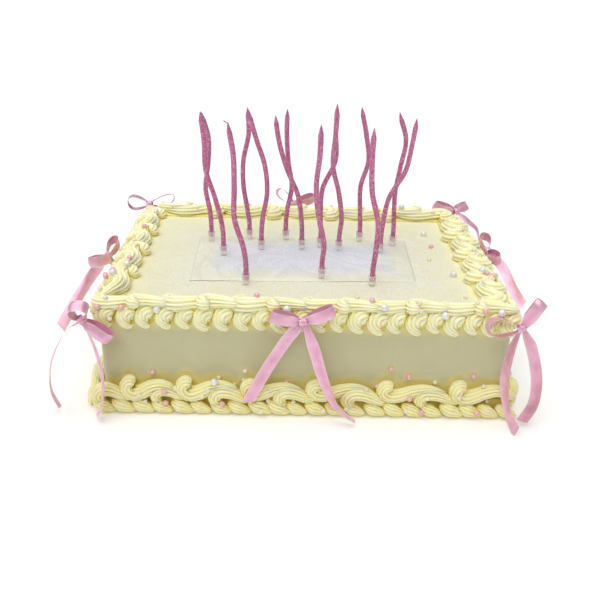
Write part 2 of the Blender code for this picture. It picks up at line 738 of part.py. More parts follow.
def candle(name, x, y, height, swings, bend, group, look):
    """A wavy candle that narrows to a pointed tip: a tube along a smooth curve."""
    foot = cup_base(x, y) + CUP_HEIGHT - CANDLE_SEAT + GAP
    top = CAKE_HEIGHT + height
    swing = (0.0, *swings)
    curve = bpy.data.curves.new(name, "CURVE")
    curve.dimensions = "3D"
    curve.bevel_depth = CANDLE_RADIUS
    curve.bevel_resolution = 1
    curve.use_fill_caps = True
    spline = curve.splines.new("POLY")
    spline.points.add(len(CANDLE_STEPS) - 1)
    straight = CANDLE_STEPS[1]
    for point, t in zip(spline.points, CANDLE_STEPS):
        sway = bend * math.sin(math.pi * t) if t > straight else 0.0
        side = smooth(swing, t) if t > straight else 0.0
        point.co = (x + side, y + sway, foot + (top - foot) * t, 1.0)
        point.radius = CANDLE_TAPER.get(t, 1.0)
    tube = bpy.data.objects.new(name, curve)
    group.objects.link(tube)
    shape = bmesh.new()
    shape.from_mesh(applied(tube))
    bmesh.ops.remove_doubles(shape, verts=shape.verts, dist=WELD)
    bpy.data.objects.remove(tube, do_unlink=True)
    return add_object(name, mesh_of(shape, name), group, look)


def ribbon(path, widths, cells, pinch):
    """A strip of ribbon along a path: a grid laid out on it and thickened, narrowed where it is pinched."""
    shape = bmesh.new()
    bmesh.ops.create_grid(shape, x_segments=cells, y_segments=1, size=1.0)
    for vertex in shape.verts:
        t = (vertex.co.x + 1) / 2
        tangent = (smooth(path, t + 0.01) - smooth(path, t - 0.01)).normalized()
        width = smooth(widths, t)
        width = (width - tangent * width.dot(tangent)).normalized()
        half = RIBBON_WIDTH / 2 * pinch(t)
        vertex.co = smooth(path, t) + width * half * vertex.co.y
    mesh = bpy.data.meshes.new("ribbon")
    shape.to_mesh(mesh)
    shape.free()
    strip = add_object("ribbon", mesh, bpy.context.scene.collection)
    thicken(strip, RIBBON_THICK, 0.0)
    made = applied(strip)
    bpy.data.objects.remove(strip, do_unlink=True)
    return made


def loop_path(knot, reach, opening):
    """A teardrop from the knot out to the end of its reach and back. Its ends cross a little at the knot."""
    path = []
    for i in range(LOOP_STEPS + 1):
        turn = 2 * math.pi * i / LOOP_STEPS
        far = (1 - math.cos(turn)) / 2
        wide = math.sin(turn) * (0.44 + 0.81 * far)
        cross = 0.16 * (1 - 2 * i / LOOP_STEPS)
        path.append(knot + reach * (0.06 + 0.94 * far) + opening * (wide + cross))
    return path


def loop_pinch(t):
    """How wide a loop's ribbon is at t, gathered at both ends."""
    return LOOP_PINCH + (1 - LOOP_PINCH) * min(1.0, min(t, 1 - t) / PINCH_REACH)


def tail_pinch(t):
    """How wide a tail's ribbon is at t, gathered at the knot."""
    return TAIL_PINCH + (1 - TAIL_PINCH) * min(1.0, t / PINCH_REACH)


def bow(name, plan, group, look):
    """A tied bow: two loops, two tails and the knot that holds them, all one ribbon."""
    knot = Vector(plan["knot"])
    pieces = []
    for reach, opening in plan["loops"]:
        reach, opening = Vector(reach), Vector(opening)
        width = reach.cross(opening).normalized()
        pieces.append(ribbon(loop_path(knot, reach, opening), [width, width], LOOP_CELLS, loop_pinch))
    for route, start, end in plan["tails"]:
        path = [Vector(point) for point in route]
        pieces.append(ribbon(path, [Vector(start), Vector(end)], TAIL_CELLS, tail_pinch))
    return add_object(name, fused(name, ball("knot", knot, KNOT_RADIUS), pieces), group, look)


def main():
    """Builds every piece of the cake."""
    clear_scene()
    group = add_group("sheet_cake")
    buttercream = material("buttercream", CREAM, 0.45)
    satin = material("satin_ribbon", PINK, 0.35)
    wafer = material("wafer", (0.88, 0.89, 0.90), 0.6)
    wax = material("glitter_wax", (0.62, 0.22, 0.40), 0.4)
    clear = material("clear_plastic", (0.92, 0.86, 0.88), 0.15, 0.5)
    frosted_cake(group, buttercream)
    for side in QUARTER_TURNS:
        base_border(side, group, buttercream)
        top_border(side, group, buttercream)
    wafer_sheet(group, wafer)
    for letter, (x, y, height, swings, bend) in CANDLES.items():
        candle_cup("candle_cup_" + letter, x, y, group, clear)
        candle("candle_" + letter, x, y, height, swings, bend, group, wax)
    for spot, plan in BOWS.items():
        bow("bow_" + spot, plan, group, satin)


main()
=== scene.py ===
"""The looks of a frosted sheet cake: ridged piping, sugar pearls, satin bows, a wafer sheet and candles.

Metres, +Z up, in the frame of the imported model: the origin is the middle of the block's base.
"""
import math
import random

import bmesh
import bpy
import numpy as np
from mathutils import Matrix, Vector, noise
from mathutils.bvhtree import BVHTree

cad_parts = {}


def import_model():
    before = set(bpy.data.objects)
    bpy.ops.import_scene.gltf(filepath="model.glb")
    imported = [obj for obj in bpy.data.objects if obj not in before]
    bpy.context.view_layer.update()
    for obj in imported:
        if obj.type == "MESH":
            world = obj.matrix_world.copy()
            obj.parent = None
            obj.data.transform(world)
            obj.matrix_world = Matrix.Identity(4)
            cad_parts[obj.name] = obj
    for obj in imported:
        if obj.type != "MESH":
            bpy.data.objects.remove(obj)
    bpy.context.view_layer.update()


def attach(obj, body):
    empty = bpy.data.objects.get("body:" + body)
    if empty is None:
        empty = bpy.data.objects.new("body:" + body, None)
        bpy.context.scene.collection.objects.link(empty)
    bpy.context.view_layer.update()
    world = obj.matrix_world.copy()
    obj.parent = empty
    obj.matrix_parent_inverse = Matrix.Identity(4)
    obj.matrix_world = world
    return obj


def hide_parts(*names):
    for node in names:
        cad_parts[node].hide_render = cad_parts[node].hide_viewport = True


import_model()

# The frosted block
CAKE_WIDTH = 0.350
CAKE_DEPTH = 0.252
CAKE_HEIGHT = 0.096
EDGE_RADIUS = 0.005
GAP = 0.0003
MM_PER_METRE = 1000

# The piped borders, laid out as the solids are
PAIR_PITCH = 0.058
TOP_PAIR_PITCH = 0.059
TOP_SHELL_PITCH = 0.0163
BASE_SHELL_PITCH = 0.0168
TOP_RING = {"front": 0.0130, "back": 0.0290, "left": 0.0255, "right": 0.0310}
CORNER_SIZE = 0.80
TOP_CORE_THICK = 0.0015
TOP_CORE_RISE = 0.0015
TOP_CORE_DROP = 0.013
TOP_CORE_INSET = 0.006
TOP_BAND_RISE = 0.0040
TOP_BANDS = {"front": (0.0015, 0.50, 1.00), "back": (0.0145, 1.10, 1.25),
             "left": (0.0120, 0.95, 1.15), "right": (0.0150, 1.20, 1.30)}
TOP_ROW_SPARE = 0.002
BASE_REACH = 0.022
BASE_CORE_THICK = 0.0040
BASE_CORE_HEIGHT = 0.015
BASE_BAND_HEIGHT = 0.0215
BASE_BAND_OUT = 0.0070
BASE_ROW_SPARE = 0.009
SPARE = 0.002
SCROLL_LEAD = 0.0040
SIZE_SPREAD = 0.08
SHELL_LEAN = 0.0008
SCROLL_LIFT = 0.0006
BASE_SEED = 11
TOP_SEED = 31
TROUGH_SCROLL = (
    (0.0030, 0.0052, 0.0050), (-0.0020, 0.0060, 0.0066), (-0.0045, 0.0012, 0.0070),
    (0.0010, -0.0036, 0.0070), (0.0095, -0.0026, 0.0066), (0.0190, 0.0016, 0.0060), (0.0290, 0.0036, 0.0053),
    (0.0390, 0.0010, 0.0044), (0.0470, -0.0040, 0.0026),
)
CREST_SCROLL = (
    (0.0310, -0.0102, 0.0038), (0.0262, -0.0094, 0.0054), (0.0245, -0.0044, 0.0063),
    (0.0288, -0.0002, 0.0062), (0.0380, -0.0010, 0.0055), (0.0480, -0.0055, 0.0045),
    (0.0570, -0.0095, 0.0026),
)
CREST_LIFT = 0.0020
FRONT_HEADS = (-0.199, -0.149, -0.101, -0.046, 0.011, 0.073, 0.137, 0.197)
TOP_SHELL = (
    (0.0108, 0.0004, -0.0026, 0.0046), (0.0068, 0.0008, -0.0024, 0.0064), (0.0024, 0.0012, -0.0042, 0.0074),
    (0.0000, 0.0016, -0.0084, 0.0070), (0.0008, 0.0022, -0.0126, 0.0052), (0.0040, 0.0026, -0.0156, 0.0032),
    (0.0070, 0.0022, -0.0150, 0.0018),
)
TOP_SHELL_WIDEN = 1.12
BASE_SHELL = (
    (-0.0068, 0.0070, 0.0098, 0.0026), (-0.0040, 0.0094, 0.0092, 0.0046), (0.0000, 0.0106, 0.0072, 0.0060),
    (0.0046, 0.0112, 0.0056, 0.0050), (0.0088, 0.0118, 0.0040, 0.0034), (0.0122, 0.0122, 0.0024, 0.0016),
)
CORNER_SHELLS = {"front": (0.55,), "back": (0.25, 0.80)}
QUARTER_TURNS = {"front": 0, "right": 1, "back": 2, "left": 3}

# The star tip: ridges round a bead, how deep the grooves are, and how far they wind along it
SHELL_RIDGES = 10
SCROLL_RIDGES = 11
RIDGE_SAMPLES = 5
GROOVE_DEPTH = 0.33
GROOVE_POWER = 0.8
SHELL_WIND = 0.5
SCROLL_WIND = 0.35
SHELL_RINGS = 20
SCROLL_RINGS = 46
HEAD_LONGEST = 0.4
TAIL_LONGEST = 0.3
TAIL_LENGTH = 1.5
TAIL_TAPER = 0.7
SLOPE_STEP = 0.02

# Sugar pearls: first those of the solids. The rest are listed where the photograph shows them, each where
# it is seen on an upright plane before the front, in millimetres. On the unseen sides they follow a rule.
PEARL_RADII = {"pink": 0.0025, "cream": 0.0020, "white": 0.0033}
PEARL_COLOURS = {"pink": (0.88, 0.50, 0.52), "cream": (0.90, 0.84, 0.68), "white": (0.86, 0.85, 0.86)}
PEARL_KINDS = ("pink", "cream", "cream", "white")
PEARL_SINK = 0.45
PEARL_STRAY = 0.008
PEARL_MARGIN = 0.010
PEARL_ROUNDS = 3
AIM_DISTANCE = 0.06
BASE_PEARLS = {"front": 6, "back": 4, "left": 2, "right": 2}
BASE_PEARL_HEIGHTS = (0.006, 0.024)
TOP_PEARLS = {"front": 4, "back": 3, "left": 2, "right": 2}
TOP_PEARL_INSET = 0.020
WALL_PEARLS = (
    ("pink", -0.132, 0.0345), ("cream", -0.052, 0.0375), ("pink", 0.074, 0.042), ("pink", 0.147, 0.036),
)
FLAT_PEARLS = (
    ("pink", 0.130, 0.025), ("white", 0.128, 0.060), ("cream", 0.122, -0.010), ("white", 0.138, -0.047),
)
MORE_SEED = 71
MORE_BASE_PEARLS = {"front": 0, "back": 18, "left": 13, "right": 13}
MORE_TOP_PEARLS = {"front": 0, "back": 14, "left": 7, "right": 6}
MORE_BASE_HEIGHTS = (0.003, 0.034)
SIGHT_PLANE = -137
FRONT_PEARLS = (
    ("pink", -121, 22), ("pink", -121, 9), ("pink", -72, 10), ("pink", -16, 33), ("pink", 61, 31),
    ("pink", 88, 41), ("pink", 151, 5), ("pink", 102, 3), ("white", -78, 31), ("cream", -138, 11),
    ("cream", -112, 25), ("cream", -74, 37), ("cream", -53, 35), ("cream", -61, 30), ("cream", -84, 24),
    ("cream", -47, 12), ("cream", -31, 14), ("cream", -30, 26), ("cream", -10, 13), ("cream", -38, 3),
    ("cream", 16, 3), ("cream", 37, 7), ("cream", 52, 27), ("cream", 89, 5), ("cream", 106, 19),
    ("cream", 111, 36), ("cream", 154, 32), ("cream", 158, 18), ("cream", 171, 43), ("pink", -171, 101),
    ("pink", -152, 102), ("white", -123, 101), ("white", -18, 102), ("cream", -163, 91),
    ("cream", -164, 110), ("white", -156, 131), ("pink", -162, 128), ("pink", -143, 145), ("pink", 52, 111),
    ("white", 62, 105), ("cream", 90, 111), ("cream", 92, 104), ("white", 113, 101), ("cream", 127, 116),
    ("cream", 137, 111), ("pink", 145, 106), ("cream", 143, 102), ("white", 159, 103), ("pink", 142, 137),
    ("white", 149, 135), ("cream", 135, 154), ("cream", 121, 165),
)

# The block's skin: its cells, the rounded edges' cells, its trowel marks and the glitter round the sheet,
# whose mark also keeps the painted wall shade off the top
SKIN_CELL = 0.003
EDGE_CELLS = 4
TROWEL_DEPTH = 0.0002
TROWEL_SCALE = (26.0, 26.0, 70.0)
DUST_REACH = 0.045
DUST_LEAST = 0.45
DUST_MOST = 0.95

# The wafer sheet
SHEET_CORNERS = ((-0.105, -0.070), (0.101, -0.062), (0.105, 0.043), (-0.107, 0.044))
SHEET_THICK = 0.0005
SHEET_WAVE = 0.0006
SHEET_ROWS = 70
SHEET_COLUMNS = 120
SHEET_LIFT = 0.0002
SHEET_LIFT_REACH = 0.09
SHEET_SETTLE = 0.008
SHEET_SETTLING = 0.96
SHEET_RIM = 0.034
SHEET_CURLS = 9.0
SHEET_CURL_START = 1.0
SHEET_CURL_HOLD = 0.4
WAVES_ACROSS = (31, 9)
WAVES_BACK = (47, 3)

# Candles and their cups
CANDLE_SIDES = 14
CANDLE_ROWS = 64
CANDLE_TIP_ROWS = 12
CANDLE_TIP = 0.935
CANDLE_EASE = (0.05, 0.20)
CANDLE_LUMPS = 0.05
CANDLE_LUMP_SCALE = 90.0
CANDLE_TIP_TAPER = 0.8
CANDLE_POINT = 0.00012
BENT_WICK = "candle_c"
WICK_REACH = ((0.0006, -0.0032), (-0.0004, -0.0012), (-0.0016, -0.0003), (-0.0036, 0.0008))
WICK_RADIUS = 0.0005
CANDLE_RADIUS = 0.00235
CANDLE_SEAT = 0.0055
# Each candle, in millimetres: its place, its tip's height over the cake, how far aside it stands at even
# steps up it, and how far it bows back
CANDLES = {
    "a": (-94, 27, 131, (-1, -5, -2, -1, -7), 2),
    "b": (-79, -10, 139, (-1, -7, -15, -16, -19), -3),
    "c": (-54, -75, 144, (-2, -10, -10, -10.5, -14.5), 2),
    "d": (-56, 36, 135, (-2, -6, -6, -1, -2), -2),
    "e": (-43, 8, 138, (1, 5, 2.5, -6, -12.7), 3),
    "f": (-19, 36, 134, (1, 5, 1, -1, -1), 2),
    "g": (-3, 11, 133, (-1, -5, -16, -24, -28), -3),
    "h": (14, -60, 141, (1, -5, -8, -6, -6), 2),
    "i": (16, 16, 144, (-1, 0, 11, 10, 10), 4),
    "j": (34, 9, 143, (1, -3, -10, -9, -8), -4),
    "k": (57, 36, 138, (-1, -2, 4, 0, -6), 2),
    "l": (59, -72, 142, (1, 1, -6, -8, -8), -2),
    "m": (75, 5, 135, (1, 5, 18, 22, 24), 2),
    "n": (90, 26, 136, (-1, -2, 1, 4, -4), -2),
}
CUP_HEIGHT = 0.010
CUP_TOP_RADIUS = 0.0038
CUP_FOOT_RADIUS = 0.0027
CUP_BORE_RADIUS = 0.0030
CUP_LIP = 0.0003
CUP_MIDDLE = 0.0001
CUP_SIDES = 28

# Ribbon bows
RIBBON_WIDTH = 0.010
LOOP_STEPS = 12
LOOP_WIDTH = (0.44, 0.81)
LOOP_CROSSING = 0.16
LOOP_START = (0.06, 0.94)
LOOP_PINCH = 0.35
TAIL_PINCH = 0.4
PINCH_REACH = 0.2
RIBBON_ROWS = 56
RIBBON_COLUMNS = 16
RIBBON_CUT = 0.006
RIBBON_SLOPE_STEP = 0.01
RIBBON_CUPPING = 0.0004
CUPPING_LEVEL = 0.33
RIBBON_SWAY = 0.0005
SWAY_ALONG = 7.0
SWAY_ACROSS = 2.0
SWAY_END = 3
PLEATS = 3
PLEAT_DEPTH = 0.0008
PLEAT_SHIFT = 0.8
KNOT_HALF = 0.0034
KNOT_WRAP_RADIUS = 0.0038
KNOT_BARREL = 0.22
KNOT_PLEATS = 2.5
KNOT_PLEAT_DEPTH = 0.00025
KNOT_ROWS = 28

# Each bow, in millimetres: its knot, its two loops, each as a reach and half an opening, and its two tails,
# each as a route and the ways that the ribbon's width points at its start and its end.
BOWS = {
    "front": (
        (-4, -140, 93), (((-27, 0, 5), (0, 4.5, 0)), ((25, -1, 12), (0, 4.5, 0))),
        (((-6, -141, 91), (-17, -143, 78), (-34, -143, 48), (-50, -143, 14)), (0.87, 0, -0.48),
         (0.87, 0, -0.48)),
        (((-2, -141, 91), (6, -143, 68), (15, -145, 40), (27, -149, 16), (44, -155, 5.5)), (0.94, 0, 0.3),
         (0.1, -0.6, 0.6)),
    ),
    "front_left": (
        (-185, -138.5, 90), (((1, -10, 18), (8, 0, 0)), ((24, -3, -16), (0, 5.5, 0))),
        (((-187, -139, 88), (-200, -140, 77), (-213, -141, 50), (-216, -140, 24), (-210, -139, 3.5)),
         (0.3, -0.8, 0.5), (0.2, -0.95, 0)),
        (((-183, -140, 88), (-175, -143, 67), (-170, -146, 42), (-171, -150, 18), (-177, -152, 3.5)),
         (0.6, -0.7, 0.3), (0.25, -0.95, 0)),
    ),
    "front_right": (
        (176, -141.5, 92), (((-29, -1, 1), (0, 2, 7.5)), ((12, -3, 26), (2, 4.5, 0))),
        (((178, -142.5, 90), (186.5, -143, 75), (195.5, -144, 46), (196.5, -145, 20), (187, -149, 3.5)),
         (0.8, -0.45, 0.3), (0.6, -0.75, 0)),
        (((174, -142.5, 90), (169, -144.5, 68), (168, -146, 42), (174, -150, 15), (180, -165, 3.5)),
         (0.35, -0.92, 0.1), (0.5, -0.85, 0)),
    ),
    "right": (
        (187, 20, 96), (((3, 32, 4), (6, 0, 0)), ((5, -24, -1), (5, 0, 2))),
        (((189, 18, 95), (198, -3, 87), (204, -23, 74), (211, -44, 64)), (0.83, 0, 0.56), (0.83, 0, 0.56)),
        (((187, 22, 93), (187, 32, 76), (190, 37, 52)), (0, 0.9, 0.3), (0, 1, 0.2)),
    ),
    "left": (
        (-190, -14, 95), (((2, 30, 6), (5, 0, 0)), ((-7, -24, 3), (8.5, 0, 2))),
        (((-192, -16, 94), (-201, -32, 84), (-211, -62, 70), (-219, -92, 56)), (-0.86, 0, 0.51),
         (-0.86, 0, 0.51)),
        (((-190, -12, 92), (-187, 4, 74), (-189, 14, 50)), (0, 0.9, 0.3), (0, 1, 0.2)),
    ),
    "back_left": (
        (-176, 140.5, 97), (((-25, 0, 2), (0, 0, 8)), ((29, 1, 8), (0, 2, 5.5))),
        (((-174, 141.5, 95), (-170, 143, 68), (-168, 146, 38), (-165, 150, 3.5)), (0.9, 0, 0.2),
         (0.95, 0.2, 0)),
        (((-172, 141.5, 95), (-158, 144, 72), (-148, 147, 40), (-146, 148, 10)), (0.9, 0, 0.4),
         (0.95, 0, 0.1)),
    ),
    "back_right": (
        (180, 140.5, 97), (((-27, 1, 7), (0, 4.5, 1)), ((12, 14, 3), (5, -3, 3))),
        (((182, 138.5, 95), (194, 133, 87), (204, 129, 78), (209, 126, 58)), (0.3, 0.8, 0.45),
         (0.3, 0.9, 0.2)),
        (((178, 141.5, 95), (172, 144, 68), (168, 147, 38), (170, 151, 3.5)), (0.9, 0, 0.2),
         (0.95, 0.1, 0)),
    ),
    "back": (
        (-10, 141.5, 101), (((-19, 0, 16), (3, 2, 4)), ((24, 1, 8), (0, 4.5, 2))),
        (((-12, 142.5, 99), (-21, 144, 72), (-37, 146, 40), (-52, 150, 5.5)), (0.92, 0, -0.3),
         (0.7, 0.3, -0.3)),
        (((-8, 142.5, 99), (-2, 144, 70), (8, 146, 40), (20, 148, 12)), (0.92, 0, 0.3), (0.92, 0, 0.35)),
    ),
}

# The floor
FLOOR_SIZE = 20.0
FLOOR_COLOUR = (0.86, 0.86, 0.86)
FLOOR_GLOW = 0.16

# The camera, fitted to the photograph's edges
CAMERA_PLACE = (-0.02337, -0.67204, 0.36846)
CAMERA_PITCH = math.radians(25.652)
CAMERA_YAW = math.radians(1.735)
CAMERA_ROLL = math.radians(1.952)
CAMERA_LENS = 43.97
CAMERA_SENSOR = 36.0
CAMERA_NEAREST = 0.01

# Colours: buttercream by how deep in a groove or crevice it lies, deeper yellow there as painted shade, with
# the foot's border a darker painted-shade copy and the walls painted in shade; glitter, wax by its flakes,
# and satin with a painted highlight along its edges
WHITE = (1.0, 1.0, 1.0)
PIPED_STOPS = ((0.0, (0.985, 0.965, 0.700)), (0.45, (0.985, 0.945, 0.560)), (1.0, (0.990, 0.840, 0.220)))
SHADED_FOOT_STOPS = ((0.0, (0.955, 0.920, 0.630)), (0.45, (0.950, 0.890, 0.460)), (1.0, (0.960, 0.780, 0.150)))
FLAT_STOPS = ((0.0, (0.800, 0.770, 0.490)), (0.35, (0.920, 0.850, 0.420)), (1.0, (1.000, 0.900, 0.280)))
WALL_SHADE = (0.76, 0.755, 0.735)
SILVER = (0.850, 0.870, 0.860)
CREVICE_REACH = 0.009
FLAKE_SCALE = 1100.0
DUST_OVER_CREVICE = -1.05
WAX_FLAKE_SCALE = 1300.0
WAX_STOPS = ((0.0, (0.34, 0.06, 0.17)), (0.45, (0.54, 0.13, 0.29)), (0.75, (0.66, 0.24, 0.43)),
             (0.95, (0.95, 0.64, 0.80)))
SATIN_DARK = (0.72, 0.34, 0.48)
SATIN_LIGHT = (0.86, 0.48, 0.63)
SATIN_EDGE_HIGHLIGHT = (0.90, 0.64, 0.74)

# A wide soft sun from overhead, a small one from the front and a dimmer surround. Each sun has a strength,
# and a spread and turns in degrees.
WORLD_STRENGTH = 0.22
SUNS = (("overhead", 2.48, 80.0, (3.0, -8.0, 0.0)), ("front", 0.42, 24.0, (48.0, 0.0, -14.0)))


def put(name, data):
    """Adds an object to the scene."""
    made = bpy.data.objects.new(name, data)
    bpy.context.scene.collection.objects.link(made)
    return made


def metres(*values):
    """Millimetres as metres."""
    return [value / MM_PER_METRE for value in values]


def mm(*values):
    """A vector given in millimetres."""
    return Vector(metres(*values))


def camera():
    """The camera at the photograph's place and angle."""
    forward = Vector((math.sin(CAMERA_YAW) * math.cos(CAMERA_PITCH),
                      math.cos(CAMERA_YAW) * math.cos(CAMERA_PITCH), -math.sin(CAMERA_PITCH)))
    right = Vector((math.cos(CAMERA_YAW), -math.sin(CAMERA_YAW), 0.0))
    up = right.cross(forward)
    across = right * math.cos(CAMERA_ROLL) + up * math.sin(CAMERA_ROLL)
    upward = up * math.cos(CAMERA_ROLL) - right * math.sin(CAMERA_ROLL)
    data = bpy.data.cameras.new("camera")
    data.lens = CAMERA_LENS
    data.sensor_width = CAMERA_SENSOR
    data.clip_start = CAMERA_NEAREST
    made = put("camera", data)
    turn = Matrix((across, upward, -forward)).transposed().to_4x4()
    made.matrix_world = Matrix.Translation(CAMERA_PLACE) @ turn
    bpy.context.scene.camera = made


def studio():
    """A white floor, soft light from overhead, a smaller one from the front and an even surround."""
    shape = bmesh.new()
    bmesh.ops.create_grid(shape, x_segments=1, y_segments=1, size=FLOOR_SIZE)
    mesh = bpy.data.meshes.new("floor")
    shape.to_mesh(mesh)
    shape.free()
    floor = put("floor", mesh)
    paint, _ = principled("floor", Base_Color=(*FLOOR_COLOUR, 1.0), Roughness=0.9,
                          Emission_Color=(*WHITE, 1.0), Emission_Strength=FLOOR_GLOW)
    mesh.materials.append(paint)
    world = bpy.data.worlds.new("surround")
    world.use_nodes = True
    set_sockets(world.node_tree.nodes["Background"], Color=(*WHITE, 1.0), Strength=WORLD_STRENGTH)
    bpy.context.scene.world = world
    for name, strength, angle, aim in SUNS:
        data = bpy.data.lights.new(name, "SUN")
        data.energy = strength
        data.angle = math.radians(angle)
        put(name, data).rotation_euler = [math.radians(turn) for turn in aim]
    bpy.context.scene.view_settings.view_transform = "Standard"


def set_sockets(shader, **values):
    """Sets a shader's sockets by name, with underscores for spaces."""
    for key, value in values.items():
        shader.inputs[key.replace("_", " ")].default_value = value


def principled(name, **values):
    """A new node material and its shader, with the shader's sockets set by name."""
    paint = bpy.data.materials.new(name)
    paint.use_nodes = True
    shader = paint.node_tree.nodes["Principled BSDF"]
    set_sockets(shader, **values)
    return paint, shader


def node(paint, kind, **values):
    """A new node, with its inputs and settings given by name."""
    made = paint.node_tree.nodes.new(kind)
    for key, value in values.items():
        if key in made.inputs:
            made.inputs[key].default_value = value
        else:
            setattr(made, key, value)
    return made


def link(paint, start, end):
    """Joins two sockets."""
    paint.node_tree.links.new(start, end)


def texture(paint, kind, where, **values):
    """A texture read at the places that a socket gives."""
    made = node(paint, "ShaderNodeTex" + kind, **values)
    link(paint, where, made.inputs["Vector"])
    return made


def own_place(paint):
    """Each point's place in its own piece."""
    return node(paint, "ShaderNodeTexCoord").outputs["Object"]


def mark(paint, name):
    """The value that a mesh carries at its points under a name."""
    return node(paint, "ShaderNodeAttribute", attribute_name=name).outputs["Fac"]


def flat(paint, colour):
    """A socket of one colour."""
    made = node(paint, "ShaderNodeRGB")
    made.outputs[0].default_value = (*colour, 1.0)
    return made.outputs[0]


def greys(*stops):
    """Stops for a ramp, each a place and a brightness."""
    return [(place, (value, value, value)) for place, value in stops]


def ramp(paint, factor, stops):
    """A colour ramp driven by a socket."""
    made = paint.node_tree.nodes.new("ShaderNodeValToRGB")
    while len(made.color_ramp.elements) < len(stops):
        made.color_ramp.elements.new(0.5)
    for element, (place, colour) in zip(made.color_ramp.elements, stops):
        element.position = place
        element.color = (*colour, 1.0)
    link(paint, factor, made.inputs["Fac"])
    return made.outputs["Color"]


def maths(paint, operation, *terms, clamp=False):
    """One step of arithmetic on sockets and numbers."""
    made = node(paint, "ShaderNodeMath", operation=operation, use_clamp=clamp)
    for end, term in zip(made.inputs, terms):
        if isinstance(term, float):
            end.default_value = term
        else:
            link(paint, term, end)
    return made.outputs[0]


def sum_of(paint, first, first_share, second, second_share):
    """Two sockets added up, each by its share, held between 0 and 1."""
    part = maths(paint, "MULTIPLY", first, first_share)
    return maths(paint, "MULTIPLY_ADD", second, second_share, part, clamp=True)


def blend(paint, factor, first, second, kind="MIX"):
    """Blends two colour sockets by a factor, a socket or a number."""
    made = node(paint, "ShaderNodeMix", data_type="RGBA", blend_type=kind)
    if isinstance(factor, float):
        made.inputs["Factor"].default_value = factor
    else:
        link(paint, factor, made.inputs["Factor"])
    link(paint, first, made.inputs[6])
    link(paint, second, made.inputs[7])
    return made.outputs[2]


def dress(paint, shader, tint, height=None, strength=0.0, depth=0.0):
    """Gives a shader its colour, and fine relief where a height is given."""
    link(paint, tint, shader.inputs["Base Color"])
    if height is not None:
        bump = node(paint, "ShaderNodeBump", Strength=strength, Distance=depth)
        link(paint, height, bump.inputs["Height"])
        link(paint, bump.outputs["Normal"], shader.inputs["Normal"])
    return paint


def buttercream(name, stops, groove_shade_share, crevice_shade_share, dusty_and_wall_shaded=False):
    """Pale yellow buttercream, with painted shade that makes it deeper yellow in grooves and crevices, fine
    air bubbles and a soft gloss. On the block, glitter lies on the top and the walls are painted in shade.
    """
    paint, shader = principled(name, Roughness=0.48, Coat_Weight=0.06, Coat_Roughness=0.3,
                               Subsurface_Weight=0.45, Subsurface_Radius=(1.0, 0.85, 0.40),
                               Subsurface_Scale=0.003)
    place = own_place(paint)
    # Painted shade: the less of the sky a point sees close by, the deeper its yellow.
    sky = node(paint, "ShaderNodeAmbientOcclusion", samples=6, Distance=CREVICE_REACH)
    crevice_shade = maths(paint, "SUBTRACT", 1.0, sky.outputs["AO"])
    if dusty_and_wall_shaded:
        dust_and_wall_shade = mark(paint, "dust_and_wall_shade")
        # Glitter on the top takes the painted crevice shade away there.
        clear = maths(paint, "MULTIPLY_ADD", dust_and_wall_shade, DUST_OVER_CREVICE, 1.0, clamp=True)
        crevice_shade = maths(paint, "MULTIPLY", crevice_shade, clear)
    # Painted shade: groove depth and crevice shade together pick the colour from the stops.
    depth = sum_of(paint, mark(paint, "groove"), groove_shade_share, crevice_shade, crevice_shade_share)
    cloud = texture(paint, "Noise", place, Scale=38.0, Detail=3.0)
    shade = ramp(paint, cloud.outputs["Fac"], ((0.30, (0.95, 0.95, 0.93)), (0.70, WHITE)))
    tint = blend(paint, 1.0, ramp(paint, depth, stops), shade, "MULTIPLY")
    if dusty_and_wall_shaded:
        # Painted shade: the walls, where no glitter lies, are darker than the top.
        plain = ramp(paint, dust_and_wall_shade, ((0.0, WALL_SHADE), (0.4, WHITE)))
        tint = blend(paint, 1.0, tint, blend(paint, depth, plain, flat(paint, WHITE)), "MULTIPLY")
        flakes = texture(paint, "Voronoi", place, Scale=FLAKE_SCALE)
        glints = ramp(paint, flakes.outputs["Color"], greys((0.35, 0.0), (0.75, 1.0)))
        tint = blend(paint, maths(paint, "MULTIPLY", dust_and_wall_shade, glints), tint, flat(paint, SILVER))
    bubbles = texture(paint, "Noise", place, Scale=900.0, Detail=2.0)
    return dress(paint, shader, tint, bubbles.outputs["Fac"], strength=0.12, depth=0.0004)


def satin():
    """Pink satin: fine threads along it, a bright sheen, and paler edges that are a painted highlight."""
    paint, shader = principled("satin", Roughness=0.36, Metallic=0.40, Anisotropic=0.5,
                               Sheen_Weight=0.35, Sheen_Roughness=0.35)
    lay = node(paint, "ShaderNodeUVMap", uv_map="ribbon").outputs["UV"]
    threads = texture(paint, "Wave", lay, Scale=9.0, Distortion=1.0, bands_direction="Y")
    cloud = texture(paint, "Noise", lay, Scale=1.2, Detail=2.0)
    tint = ramp(paint, cloud.outputs["Fac"], ((0.30, SATIN_DARK), (0.70, SATIN_LIGHT)))
    across = node(paint, "ShaderNodeSeparateXYZ")
    link(paint, lay, across.inputs[0])
    # Painted highlight: the ribbon's edges paler, as where its cupped edges catch the light and reflect the
    # buttercream.
    rims = greys((0.0, 1.0), (0.10, 0.45), (0.55, 0.0), (0.92, 0.25), (1.0, 1.0))
    edge = ramp(paint, across.outputs["Y"], rims)
    tint = blend(paint, edge, tint, flat(paint, SATIN_EDGE_HIGHLIGHT))
    return dress(paint, shader, tint, threads.outputs["Fac"], strength=0.10, depth=0.0001)


